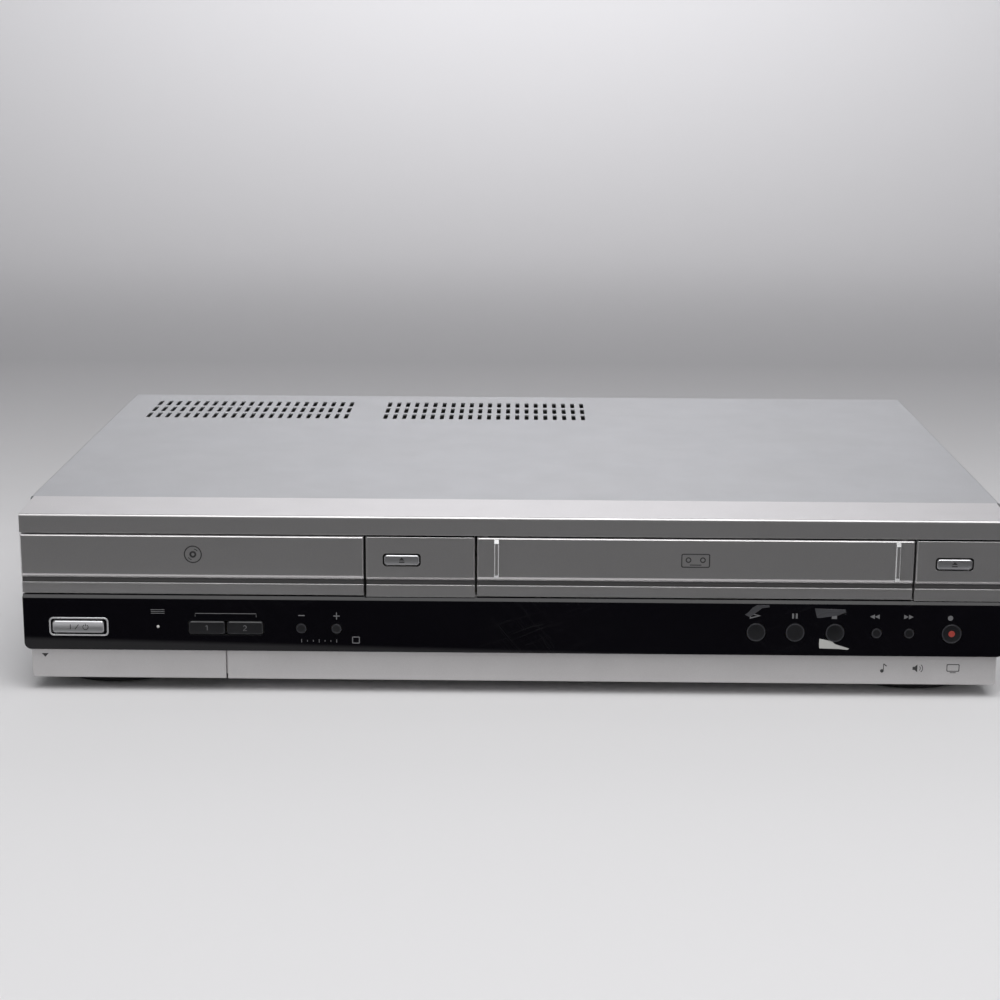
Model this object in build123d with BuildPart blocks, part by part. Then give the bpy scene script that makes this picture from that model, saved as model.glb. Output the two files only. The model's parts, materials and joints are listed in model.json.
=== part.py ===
"""Disc player and video cassette recorder in one flat case, full-width separate size.

Millimetres. +X is to the right seen from the front, +Y to the rear, +Z up. The origin is the centre of the
whole box on the surface that it stands on. The front plane of the fascia is at y = front.
"""
import os
from math import cos, pi, radians, sin, tan

from build123d import *

os.makedirs("parts", exist_ok=True)

# ------------------------------------------------------------------ driving sizes: case
case_width = 430.0
case_depth = 284.0  # front plane to the cover's rear edge
key_proud = 0.8  # ribs and the power key stand this far in front of the fascia
socket_reach = 9.0  # rear sockets stand this far behind the cover's rear edge
foot_height = 6.0
cover_sheet = 0.8
chassis_sheet = 1.0
moulding = 2.2  # wall of the plastic mouldings
seam = 0.2  # gap between casings that meet

# heights of the front, from the lower trim to the ledge
trim_height = 13.2
window_height = 24.7
door_height = 26.3
band_height = 8.2
ledge_fall = 1.0
line_gap = 0.1  # lower trim to window
door_foot_gap = 0.6  # window to doors
door_head_gap = 0.9  # doors to top band

# widths of the front, from left to right
fascia_inset = 1.7  # cover stands wider than the fascia by this much a side
tray_front_width = 148.5
middle_panel_share = 0.54138  # of the width that the two doors leave, the end panel has the rest
cassette_door_width = 188.1
door_gap = 1.0
trim_inset = 2.5
trim_set_back = 1.5
flap_width = 85.2
flap_gap = 0.8

# section of the doors and fixed panels
door_thickness = 3.4
crease_height = 8.4  # upper edge of the crease above the door's foot
crease_fall = 1.5
groove_height = 2.1
groove_depth = 2.2
lower_set_back = 1.0
edge_chamfer = 0.5
carrier_set_back = 4.0  # front of the fascia's inner carrier wall
window_thickness = 2.5
ledge_depth = 29.8

# ------------------------------------------------------------------ driving sizes: keys
key_travel = 1.0
key_gap = 0.35
stem_radius = 1.5
switch_height = 1.3
board_thickness = 1.6
small_key_radius = 2.1
transport_key_radius = 4.0
record_key_radius = 4.2
power_width = 22.3
power_height = 5.3
select_width = 15.9
select_height = 5.8
eject_width = 15.0
eject_height = 4.3
power_from_left = 23.9  # key centres from the left end of the fascia
select_from_left = (80.0, 96.6)
channel_from_left = (121.2, 136.5)
play_from_right = 107.8  # key centres from its right end
pause_from_right = 90.9
stop_from_right = 73.6
rewind_from_right = 55.6
forward_from_right = 41.5
record_from_right = 23.1
disc_eject_share = 0.24522  # of a panel's free width, to the left of its eject key
tape_eject_share = 0.35744

# ------------------------------------------------------------------ driving sizes: disc side
disc_radius = 60.0
small_disc_radius = 40.0
disc_from_front = 72.0  # disc centre behind the back of the tray's front
tray_edge = 4.0  # tray beyond the disc at each side
tray_side_margin = 10.25  # tray in from the left end of its front
tray_length = 156.0
tray_thickness = 4.5
tray_slot_width = 40.0
rail_clearance = 0.4
rack_module = 1.0
rack_teeth = 48
pinion_teeth = 16
drive_module = 0.8
tray_gear_teeth = 30
motor_pinion_teeth = 12
sled_module = 0.6
sled_gear_teeth = 20
sled_rack_teeth = 26
tooth_play = 0.08  # of the module, each flank
running_fit = 0.05

# ------------------------------------------------------------------ driving sizes: tape side
cassette_width = 188.0
cassette_depth = 104.0
drum_radius = 31.0
drum_half_height = 14.0
drum_tilt = 5.0
drum_from_front = 222.0
holder_from_front = 14.0
reel_from_cassette_front = 58.0
capstan_from_drum = (62.0, -22.0)
arm_from_drum = (87.0, 0.0)
deck_from_front = 30.0
deck_beyond_drum = 9.0
deck_pillar_x = 90.0
deck_pillar_in = 6.0
guide_length = 160.0
guide_from_holder = 16.0
guide_bridge = (90.0, 106.0)
holder_roof_from_front = 34.0
carriage_length = 50.0
carriage_from_front = 84.0
carriage_travel = 62.0
holder_drop = 20.0
reel_spacing = 92.0
reel_radius = 21.0
post_travel = 32.0

# ------------------------------------------------------------------ driving sizes: feet and rear sockets
front_foot_radius = 32.0
rear_foot_radius = 20.0
pad_radius = 12.0
pad_thickness = 0.8
foot_side_inset = 37.5
front_foot_back = 44.0
rear_foot_back = 244.0
jack_radius = 4.15
jack_length = 8.5
jack_shoulder = 5.4
jack_pitch = 18.0
jacks_from_left = 75.0
aerial_radius = 4.7
aerial_shoulder = 6.2
aerials_from_left = (157.0, 177.0)
inlet_from_left = 29.0

# ------------------------------------------------------------------ places worked out from the sizes
total_depth = key_proud + case_depth + socket_reach
front = -total_depth / 2 + key_proud
rear = front + case_depth
socket_tips = rear + socket_reach

trim_bottom = foot_height
trim_top = trim_bottom + trim_height
window_bottom = trim_top + line_gap
window_top = window_bottom + window_height
door_bottom = window_top + door_foot_gap
door_top = door_bottom + door_height
band_bottom = door_top + door_head_gap
band_top = band_bottom + band_height
case_top = band_top + ledge_fall
floor_bottom = foot_height + 1.0
floor_top = floor_bottom + chassis_sheet
roof = case_top - cover_sheet
cover_foot = floor_top

half = case_width / 2
fascia_half = half - fascia_inset
tray_front_left = -fascia_half
tray_front_right = tray_front_left + tray_front_width
panels_width = 2 * fascia_half - tray_front_width - cassette_door_width - 3 * door_gap
middle_panel_width = panels_width * middle_panel_share
panel_left = tray_front_right + door_gap
panel_right = panel_left + middle_panel_width
door_left = panel_right + door_gap
door_right = door_left + cassette_door_width
end_panel_left = door_right + door_gap
trim_half = fascia_half - trim_inset
flap_right = -trim_half + flap_width
trim_left = flap_right + flap_gap
tray_left = tray_front_left + tray_side_margin
tray_right = tray_left + 2 * (disc_radius + tray_edge)
disc_x = (tray_left + tray_right) / 2
tape_x = (door_left + door_right) / 2

carrier_front = front + carrier_set_back
carrier_back = carrier_front + moulding
crease_top = door_bottom + crease_height
crease_bottom = crease_top - crease_fall
groove_bottom = crease_bottom - groove_height
key_z = window_bottom + 10.4
eject_z = door_bottom + 16.2
board_front = carrier_back + 2.8
stem_end = board_front - switch_height - key_travel - 0.1

CENTRE_LOW = (Align.CENTER, Align.CENTER, Align.MIN)


def block(x, y, z, mode=Mode.ADD):
    """Add or cut the box between the limits x, y and z."""
    with Locations(((x[0] + x[1]) / 2, (y[0] + y[1]) / 2, (z[0] + z[1]) / 2)):
        Box(x[1] - x[0], y[1] - y[0], z[1] - z[0], mode=mode)


def upright(x, y, z, radius, mode=Mode.ADD):
    """Add or cut a cylinder along Z between the limits z."""
    with Locations((x, y, z[0])):
        Cylinder(radius, z[1] - z[0], align=CENTRE_LOW, mode=mode)


def along_y(x, y, z, radius, mode=Mode.ADD):
    """Add or cut a cylinder along Y between the limits y."""
    with Locations((x, (y[0] + y[1]) / 2, z)):
        Cylinder(radius, y[1] - y[0], rotation=(90, 0, 0), mode=mode)


def along_x(x, y, z, radius, mode=Mode.ADD):
    """Add or cut a cylinder along X between the limits x."""
    with Locations(((x[0] + x[1]) / 2, y, z)):
        Cylinder(radius, x[1] - x[0], rotation=(0, 90, 0), mode=mode)


def facing(y):
    """Plane parallel to the fascia at y, which looks out of the front."""
    return Plane.XZ.offset(-y)


def front_edges(part, y, xs=None):
    """Edges of part that lie in the plane at y, only upright ones at xs where xs is given."""
    found = part.edges().filter_by(lambda e: abs(e.center().Y - y) < 0.01 and e.bounding_box().size.Y < 0.01)
    if xs is None:
        return found
    return found.filter_by(Axis.Z).filter_by(lambda e: min(abs(e.center().X - x) for x in xs) < 0.01)


def gear_outline(module, teeth, phase):
    """Toothed face of a spur gear about the origin, with one tooth at the angle phase, in degrees."""
    pitch_radius = module * teeth / 2
    slope = tan(radians(20))
    flank = []
    for reach, half_tooth in (
        (-1.2, pi / 4 + 0.66 * slope),
        (0.0, pi / 4),
        (0.9, pi / 4 - 1.035 * slope),
    ):
        radius = pitch_radius + reach * module
        flank.append((radius, (half_tooth - tooth_play) * module / radius))
    points = []
    for tooth in range(teeth):
        middle = radians(phase) + 2 * pi * tooth / teeth
        for radius, angle in flank:
            points.append((radius * cos(middle - angle), radius * sin(middle - angle)))
        for radius, angle in reversed(flank):
            points.append((radius * cos(middle + angle), radius * sin(middle + angle)))
    with BuildSketch() as outline:
        with BuildLine():
            Polyline(*points, close=True)
        make_face()
    return outline.sketch


def rack_outline(module, teeth, back):
    """Toothed strip along Y that starts at the origin, its pitch line on x = 0 and its teeth towards +X."""
    pitch = pi * module
    slope = tan(radians(20))
    root = (pi / 4 + 1.2 * slope - tooth_play) * module
    tip = (pi / 4 - 0.9 * slope - tooth_play) * module
    points = [(-back, -pitch / 2), (-1.2 * module, -pitch / 2)]
    for tooth in range(teeth):
        middle = tooth * pitch
        points.append((-1.2 * module, middle - root))
        points.append((0.9 * module, middle - tip))
        points.append((0.9 * module, middle + tip))
        points.append((-1.2 * module, middle + root))
    points.append((-1.2 * module, (teeth - 0.5) * pitch))
    points.append((-back, (teeth - 0.5) * pitch))
    with BuildSketch() as outline:
        with BuildLine():
            Polyline(*points, close=True)
        make_face()
    return outline.sketch


def door_outline(foot):
    """Creased section in the YZ plane that the doors and fixed panels share, from foot to their top edge."""
    with BuildSketch(Plane.YZ) as outline:
        with BuildLine():
            Polyline(
                (front, door_top),
                (front, crease_top),
                (front + crease_fall, crease_bottom),
                (front + groove_depth, crease_bottom),
                (front + groove_depth, groove_bottom + 0.5),
                (front + lower_set_back, groove_bottom),
                (front + lower_set_back, foot),
                (front + door_thickness, foot),
                (front + door_thickness, door_top),
                close=True,
            )
        make_face()
    return outline.sketch


def on_panel(left, right, share):
    """Centre of the eject key that has this share of its panel's free width to its left."""
    hole = eject_width + 2 * key_gap
    return left + hole / 2 + share * (right - left - hole)


# ------------------------------------------------------------------ keys: name, x, radius
round_keys = [
    ("channel_down_key", -fascia_half + channel_from_left[0], small_key_radius),
    ("channel_up_key", -fascia_half + channel_from_left[1], small_key_radius),
    ("play_key", fascia_half - play_from_right, transport_key_radius),
    ("pause_key", fascia_half - pause_from_right, transport_key_radius),
    ("stop_key", fascia_half - stop_from_right, transport_key_radius),
    ("rewind_key", fascia_half - rewind_from_right, small_key_radius),
    ("forward_key", fascia_half - forward_from_right, small_key_radius),
    ("record_key", fascia_half - record_from_right, record_key_radius),
]
power_x = -fascia_half + power_from_left
select_x = [-fascia_half + place for place in select_from_left]
disc_eject_x = on_panel(panel_left, panel_right, disc_eject_share)
tape_eject_x = on_panel(end_panel_left, fascia_half, tape_eject_share)
# name, x, z, width, height, proud
bar_keys = [
    ("power_key", power_x, key_z, power_width, power_height, key_proud),
    ("select_left_key", select_x[0], key_z, select_width, select_height, 0.5),
    ("select_right_key", select_x[1], key_z, select_width, select_height, 0.5),
    ("disc_eject_key", disc_eject_x, eject_z, eject_width, eject_height, 0.6),
    ("tape_eject_key", tape_eject_x, eject_z, eject_width, eject_height, 0.6),
]
dished_keys = ("power_key", "disc_eject_key", "tape_eject_key")
bar_corner = 1.2
dish_radius = 12.0
dish_depth = 0.25
cap_back = carrier_front + 0.6

for name, x, radius in round_keys:
    with BuildPart() as round_key:
        along_y(x, (front - 0.3, cap_back), key_z, radius)
        chamfer(front_edges(round_key, front - 0.3), 0.3)
        along_y(x, (cap_back, stem_end), key_z, stem_radius)
    round_key.part.label = name
    export_step(round_key.part, f"parts/{name}.step")

for name, x, z, width, height, proud in bar_keys:
    with BuildPart() as bar_key:
        with BuildSketch(facing(cap_back)):
            with Locations((x, z)):
                RectangleRounded(width, height, bar_corner)
        extrude(amount=cap_back - front + proud)
        chamfer(front_edges(bar_key, front - proud), 0.45)
        if name in dished_keys:
            dish_y = front - proud + dish_depth - dish_radius
            along_x((x - width, x + width), dish_y, z, dish_radius, Mode.SUBTRACT)
        block((x - 2, x + 2), (cap_back, stem_end), (z - 1.2, z + 1.2))
    bar_key.part.label = name
    export_step(bar_key.part, f"parts/{name}.step")

# ------------------------------------------------------------------ front fascia
tray_plate_z = door_bottom + 9.4
tray_hole = ((tray_left - 3, tray_right + 3), (tray_plate_z - 5.2, tray_plate_z + tray_thickness + 3.5))
hinge_y = front + 4.4
hinge_z = door_top + 3.3
hinge_radius = 1.2
ear_inset = 2.7
ear_thickness = 2.0
ear_radius = 1.9
skirt_half = trim_half - 0.2
flap_thickness = 2.2
flap_back = front + trim_set_back + flap_thickness
flap_pivot_y = flap_back + 1.5
flap_pivot_z = trim_bottom + 2.6
flap_pin_radius = 1.0
flap_arm_radius = 1.4
arm_thickness = 1.8
left_arm = -skirt_half + moulding + 0.4
right_arm = flap_right - 3.4
lug_left = right_arm + arm_thickness + 0.3
pocket_left = -trim_half + 5.0
pocket_right = flap_right - 5.0
pocket_floor = floor_top + 0.5
pocket_roof = trim_top - 1.6

with BuildPart() as front_fascia:
    with BuildSketch(Plane.YZ.offset(-fascia_half)):
        with BuildLine():
            Polyline(
                (front, band_bottom),
                (front, band_top),
                (front + ledge_depth, case_top),
                (front + ledge_depth, case_top - moulding),
                (front + moulding, band_top - moulding),
                (front + moulding, band_bottom + moulding),
                (carrier_back, band_bottom + moulding),
                (carrier_back, band_bottom),
                close=True,
            )
        make_face()
    extrude(amount=2 * fascia_half)
    for side in (-1, 1):
        wall = sorted((side * fascia_half, side * (fascia_half - moulding)))
        block(wall, (carrier_front, front + ledge_depth), (window_bottom, band_top - 1.0))
        wall = sorted((side * skirt_half, side * (skirt_half - moulding)))
        block(wall, (carrier_front, front + ledge_depth), (floor_top, window_bottom + moulding))
        shelf = sorted((side * fascia_half, side * (skirt_half - moulding)))
        block(shelf, (carrier_front, front + ledge_depth), (window_bottom, window_bottom + moulding))
    block((-skirt_half, skirt_half), (carrier_front, carrier_back), (pocket_floor, window_bottom + 1))
    block((-fascia_half, fascia_half), (carrier_front, carrier_back), (window_bottom, band_bottom))
    for left, right in ((panel_left, panel_right), (end_panel_left, fascia_half)):
        extrude(Location((left, 0, 0)) * door_outline(window_top), amount=right - left)
        block((left, right), (front + door_thickness, carrier_front), (window_top, door_top))
        block((left, right), (front + 1.0, carrier_front), (door_top, band_bottom))
    for x in (-fascia_half + 2, panel_left + 8, tape_x - 40, tape_x + 10, fascia_half - 8):
        block((x, x + 6), (front + window_thickness, carrier_front), (window_bottom + 1.5, window_top - 3))
    # openings
    block(tray_hole[0], (front, carrier_back + 1), tray_hole[1], Mode.SUBTRACT)
    block(
        (panel_right, end_panel_left), (front - 1, carrier_back + 1), (window_top, band_bottom), Mode.SUBTRACT
    )
    block(
        (door_left, door_right),
        (front + moulding, carrier_back + 1),
        (band_bottom - 1, band_bottom + moulding + 1),
        Mode.SUBTRACT,
    )
    block((pocket_left, pocket_right), (front, carrier_back + 1), (floor_top, pocket_roof), Mode.SUBTRACT)
    for name, x, radius in round_keys:
        along_y(x, (carrier_front - 2, carrier_back + 1), key_z, radius + key_gap + 0.3, Mode.SUBTRACT)
    for name, x, z, width, height, proud in bar_keys:
        hole_half = width / 2 + key_gap
        block(
            (x - hole_half, x + hole_half),
            (front - 1, carrier_back + 1),
            (z - height / 2 - key_gap, z + height / 2 + key_gap),
            Mode.SUBTRACT,
        )
    # bearings of the cassette door
    for x in (door_left + ear_inset - 3.6, door_right - ear_inset + 3.6):
        block((x - 1.6, x + 1.6), (front + moulding - 0.5, hinge_y + 2.4), (hinge_z - 2.2, band_top - 1.0))
    along_x((door_left - 4, door_right + 4), hinge_y, hinge_z, hinge_radius + running_fit, Mode.SUBTRACT)
    # bearings and notches for the arms of the input flap
    lug = (lug_left, lug_left + 2.0)
    block(lug, (flap_back + 0.3, flap_pivot_y + 2.2), (flap_pivot_z, pocket_floor + 3))
    block(lug, (flap_pivot_y, flap_pivot_y + 2.2), (flap_pivot_z - flap_arm_radius, flap_pivot_z))
    along_x(lug, flap_pivot_y, flap_pivot_z, flap_arm_radius)
    for x in (left_arm, right_arm):
        block(
            (x - 0.3, x + arm_thickness + 0.3),
            (front, carrier_back + 1),
            (floor_bottom, flap_pivot_z + 4),
            Mode.SUBTRACT,
        )
    along_x(
        (-skirt_half - 1, -skirt_half + moulding + 1),
        flap_pivot_y,
        flap_pivot_z,
        flap_pin_radius + running_fit,
        Mode.SUBTRACT,
    )
    along_x(
        (lug_left - 1, lug_left + 3), flap_pivot_y, flap_pivot_z, flap_pin_radius + running_fit, Mode.SUBTRACT
    )
    chamfer(front_edges(front_fascia, front, (panel_left, panel_right, end_panel_left)), edge_chamfer)
    nose = front_fascia.edges().filter_by(Axis.X).filter_by(
        lambda e: abs(e.center().Y - front) < 0.01 and abs(e.center().Z - band_top) < 0.01
    )
    fillet(nose, 1.0)
front_fascia.part.label = "front_fascia"
export_step(front_fascia.part, "parts/front_fascia.step")

# ------------------------------------------------------------------ control window
window_chamfer = 1.5
with BuildPart() as control_window:
    with BuildSketch(facing(front + window_thickness)):
        with Locations((0, (window_bottom + window_top) / 2)):
            Rectangle(2 * fascia_half, window_height)
        for name, x, radius in round_keys:
            with Locations((x, key_z)):
                Circle(radius + key_gap, mode=Mode.SUBTRACT)
        with Locations((power_x, key_z)):
            RectangleRounded(
                power_width + 2 * key_gap, power_height + 2 * key_gap, bar_corner + key_gap, mode=Mode.SUBTRACT
            )
        with Locations(((select_x[0] + select_x[1]) / 2, key_z)):
            RectangleRounded(
                select_x[1] - select_x[0] + select_width + 2 * key_gap,
                select_height + 2 * key_gap,
                bar_corner + key_gap,
                mode=Mode.SUBTRACT,
            )
    extrude(amount=window_thickness)
    corners = control_window.edges().filter_by(Axis.Y).filter_by(
        lambda e: abs(abs(e.center().X) - fascia_half) < 0.01 and e.center().Z < window_bottom + 1
    )
    fillet(corners, 3.0)
    upper = control_window.edges().filter_by(Axis.X).filter_by(
        lambda e: abs(e.center().Y - front) < 0.01 and e.center().Z > window_top - 0.1
    )
    chamfer(upper, window_chamfer)
control_window.part.label = "control_window"
export_step(control_window.part, "parts/control_window.step")

# ------------------------------------------------------------------ lower trim and input flap
trim_front = front + trim_set_back
with BuildPart() as lower_trim:
    block((trim_left, trim_half), (trim_front, carrier_front), (trim_bottom, trim_top))
    block((trim_left, trim_half), (trim_front, front + 12.0), (trim_bottom, floor_bottom))
    right_foot = lower_trim.edges().filter_by(Axis.Y).filter_by(
        lambda e: e.center().X > trim_half - 0.1 and e.center().Z < trim_bottom + 0.1
    )
    fillet(right_foot, 0.9)
    chamfer(front_edges(lower_trim, trim_front).filter_by(Axis.X), 0.3)
lower_trim.part.label = "lower_trim"
export_step(lower_trim.part, "parts/lower_trim.step")

with BuildPart() as input_flap:
    block((-trim_half, flap_right), (trim_front, flap_back), (trim_bottom + 0.1, trim_top))
    fillet(input_flap.edges().filter_by(Axis.Y).group_by(Axis.X)[0].sort_by(Axis.Z)[0], 1.4)
    chamfer(front_edges(input_flap, trim_front).filter_by(Axis.X), 0.3)
    for x, pin_reach in (
        (left_arm, (-skirt_half + 0.3, left_arm + 0.1)),
        (right_arm, (right_arm + arm_thickness - 0.1, lug_left + 2.0)),
    ):
        block(
            (x, x + arm_thickness),
            (flap_back - 0.2, flap_pivot_y),
            (flap_pivot_z - flap_arm_radius, flap_pivot_z + flap_arm_radius),
        )
        along_x((x, x + arm_thickness), flap_pivot_y, flap_pivot_z, flap_arm_radius)
        along_x(pin_reach, flap_pivot_y, flap_pivot_z, flap_pin_radius)
input_flap.part.label = "input_flap"
export_step(input_flap.part, "parts/input_flap.step")

# ------------------------------------------------------------------ steel case
side_play = 0.25
wall_x = half - cover_sheet - side_play
cover_front = front + ledge_depth + seam
cover_lip = 7.0
vent_pitch = 5.02
vent_columns = 22
vent_rows = 3
vent_row_pitch = 17.4
vent_size = (13.5, 2.2)
vent_back = 240.9  # middle row behind the front plane
vent_x = (71.4 - half, 197.9 - half)
cover_screw_x = (20.0 - half, -65.0, 65.0, half - 20.0)
cover_screw_z = case_top - 5.0
panel_screw_x = (65.0 - half, 0.0, half - 65.0)
panel_screw_z = floor_top + 3.0
screw_radius = 1.45
screw_hole = 1.6
screw_head = 3.0

with BuildPart() as top_cover:
    with BuildSketch(facing(cover_front)):
        with Locations((0, case_top)):
            Rectangle(case_width, case_top - cover_foot, align=(Align.CENTER, Align.MAX))
        with Locations((0, roof)):
            Rectangle(
                case_width - 2 * cover_sheet, case_top, align=(Align.CENTER, Align.MAX), mode=Mode.SUBTRACT
            )
    extrude(amount=-(rear - cover_front))
    fillet(
        top_cover.edges().filter_by(Axis.Y).filter_by(
            lambda e: e.center().Z > case_top - 0.1 and abs(e.center().X) > half - 0.1
        ),
        1.2,
    )
    block((-wall_x, wall_x), (rear - cover_sheet, rear), (case_top - cover_lip, roof))
    with BuildSketch(Plane.XY.offset(case_top)):
        for x in vent_x:
            with Locations((x, front + vent_back)):
                with GridLocations(vent_pitch, vent_row_pitch, vent_columns, vent_rows):
                    SlotOverall(vent_size[0], vent_size[1], rotation=90)
    extrude(amount=-2 * cover_sheet, mode=Mode.SUBTRACT)
    for x in cover_screw_x:
        along_y(x, (rear - 2, rear + 1), cover_screw_z, screw_hole, Mode.SUBTRACT)
top_cover.part.label = "top_cover"
export_step(top_cover.part, "parts/top_cover.step")

chassis_half = wall_x - 0.25
chassis_front = carrier_back + 2.3
panel_back = rear - cover_sheet
panel_front = panel_back - chassis_sheet
flange_height = 12.0
with BuildPart() as bottom_chassis:
    block((-chassis_half, chassis_half), (cover_front, panel_front), (floor_bottom, floor_top))
    block((-skirt_half, skirt_half), (chassis_front, cover_front), (floor_bottom, floor_top))
    for side in (-1, 1):
        wall = sorted((side * chassis_half, side * (chassis_half - chassis_sheet)))
        block(wall, (cover_front + 1, panel_front), (floor_bottom, floor_top + flange_height))
    # bent rear edge for the panel's screws
    block((-chassis_half, chassis_half), (panel_front - 1.2, panel_front), (floor_bottom, floor_top + 5.4))
    for x in panel_screw_x:
        along_y(x, (panel_front - 3, panel_front + 1), panel_screw_z, screw_hole, Mode.SUBTRACT)
    with BuildSketch(Plane.XY.offset(floor_top)):
        with Locations((tape_x, front + 150)):
            with GridLocations(12, 26, 9, 3):
                SlotOverall(18, 3, rotation=90)
    extrude(amount=-2 * chassis_sheet, mode=Mode.SUBTRACT)
bottom_chassis.part.label = "bottom_chassis"
export_step(bottom_chassis.part, "parts/bottom_chassis.step")

jack_x = [-half + jacks_from_left + jack_pitch * column for column in range(4)]
jack_z = (floor_top + 18.0, floor_top + 36.0)
aerial_x = [-half + place for place in aerials_from_left]
aerial_z = floor_top + 26.0
inlet_x = -half + inlet_from_left
inlet_z = floor_top + 26.0
inlet_size = (23.0, 13.0)
with BuildPart() as rear_panel:
    block((-chassis_half, chassis_half), (panel_front, panel_back), (floor_bottom, roof - 0.2))
    for x in jack_x:
        for z in jack_z:
            along_y(x, (panel_front - 1, rear), z, jack_shoulder + 0.3, Mode.SUBTRACT)
    for x in aerial_x:
        along_y(x, (panel_front - 1, rear), aerial_z, aerial_shoulder + 0.3, Mode.SUBTRACT)
    block(
        (inlet_x - inlet_size[0] / 2 - 0.2, inlet_x + inlet_size[0] / 2 + 0.2),
        (panel_front - 1, rear),
        (inlet_z - inlet_size[1] / 2 - 0.2, inlet_z + inlet_size[1] / 2 + 0.2),
        Mode.SUBTRACT,
    )
    for x in cover_screw_x:
        along_y(x, (panel_front - 1, rear), cover_screw_z, screw_hole, Mode.SUBTRACT)
    for x in panel_screw_x:
        along_y(x, (panel_front - 1, rear), panel_screw_z, screw_hole, Mode.SUBTRACT)
    with BuildSketch(facing(panel_back)):
        with Locations((tape_x, floor_top + 40)):
            with GridLocations(7, 20, 20, 2):
                SlotOverall(16, 2.4, rotation=90)
    extrude(amount=-2 * chassis_sheet, both=True, mode=Mode.SUBTRACT)
rear_panel.part.label = "rear_panel"
export_step(rear_panel.part, "parts/rear_panel.step")

with BuildPart() as case_screws:
    for x in cover_screw_x:
        along_y(x, (rear, rear + 1.8), cover_screw_z, screw_head)
        along_y(x, (rear - 8, rear), cover_screw_z, screw_radius)
    for x in panel_screw_x:
        along_y(x, (panel_back, panel_back + 1.8), panel_screw_z, screw_head)
        along_y(x, (panel_front - 2.2, panel_back), panel_screw_z, screw_radius)
case_screws.part.label = "case_screws"
export_step(case_screws.part, "parts/case_screws.step")

# ------------------------------------------------------------------ feet
foot_x = half - foot_side_inset
foot_bottom = 0.5
for name, back, radius in (
    ("front_feet", front_foot_back, front_foot_radius),
    ("rear_feet", rear_foot_back, rear_foot_radius),
):
    with BuildPart() as feet:
        for x in (-foot_x, foot_x):
            with Locations((x, front + back, foot_bottom)):
                Cone(radius - 1.2, radius, floor_bottom - foot_bottom, align=CENTRE_LOW)
            upright(x, front + back, (foot_bottom - 0.1, pad_thickness), pad_radius + 0.2, Mode.SUBTRACT)
    feet.part.label = name
    export_step(feet.part, f"parts/{name}.step")

with BuildPart() as foot_pads:
    for x in (-foot_x, foot_x):
        for back in (front_foot_back, rear_foot_back):
            upright(x, front + back, (0, pad_thickness), pad_radius)
foot_pads.part.label = "foot_pads"
export_step(foot_pads.part, "parts/foot_pads.step")

# ------------------------------------------------------------------ disc tray
tray_front_y = front + door_thickness
disc_y = tray_front_y + disc_from_front
tray_top = tray_plate_z + tray_thickness
rack_x = tray_left + 7.0
rack_z = (tray_plate_z - 4.0, tray_plate_z)
tray_gear_x = rack_x + rack_module * pinion_teeth / 2
tray_gear_y = carrier_back + 13.8
rack_start = tray_gear_y - 2.5 * pi * rack_module

with BuildPart() as tray_front:
    extrude(Location((tray_front_left, 0, 0)) * door_outline(door_bottom), amount=tray_front_width)
    chamfer(front_edges(tray_front, front), edge_chamfer)
tray_front.part.label = "tray_front"
export_step(tray_front.part, "parts/tray_front.step")

with BuildPart() as disc_tray:
    block((tray_left, tray_right), (tray_front_y, tray_front_y + tray_length), (tray_plate_z, tray_top))
    upright(disc_x, disc_y, (tray_top - 1.9, tray_top + 1), disc_radius + 0.7, Mode.SUBTRACT)
    upright(disc_x, disc_y, (tray_top - 2.8, tray_top + 1), small_disc_radius + 0.7, Mode.SUBTRACT)
    upright(disc_x, disc_y, (tray_plate_z - 1, tray_top), tray_slot_width / 2, Mode.SUBTRACT)
    block(
        (disc_x - tray_slot_width / 2, disc_x + tray_slot_width / 2),
        (disc_y, tray_front_y + tray_length + 1),
        (tray_plate_z - 1, tray_top + 1),
        Mode.SUBTRACT,
    )
    with Locations((rack_x, rack_start, rack_z[0])):
        add(
            extrude(
                rack_outline(rack_module, rack_teeth, 3.6),
                amount=rack_z[1] - rack_z[0] + 0.2,
                mode=Mode.PRIVATE,
            )
        )
disc_tray.part.label = "disc_tray"
export_step(disc_tray.part, "parts/disc_tray.step")

# ------------------------------------------------------------------ loader frame and tray drive
frame_floor = tray_plate_z - 16.0
frame_wall = 2.4
frame_left = tray_left - 3.4 - frame_wall
frame_right = tray_right + 3.4 + frame_wall
frame_front = carrier_back + 5.0
frame_back = tray_front_y + tray_length + 12.0
traverse_half_x = (40.0, 41.0)  # reach of the traverse deck left and right of the disc's centre
traverse_y = (disc_y - 30.0, disc_y + 84.0)
traverse_gap = 1.5
gear_pin_radius = 1.9
motor_x = tray_gear_x + drive_module * (tray_gear_teeth + motor_pinion_teeth) / 2
lever_z = tray_plate_z - 8.0
motor_radius = 8.0

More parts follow.
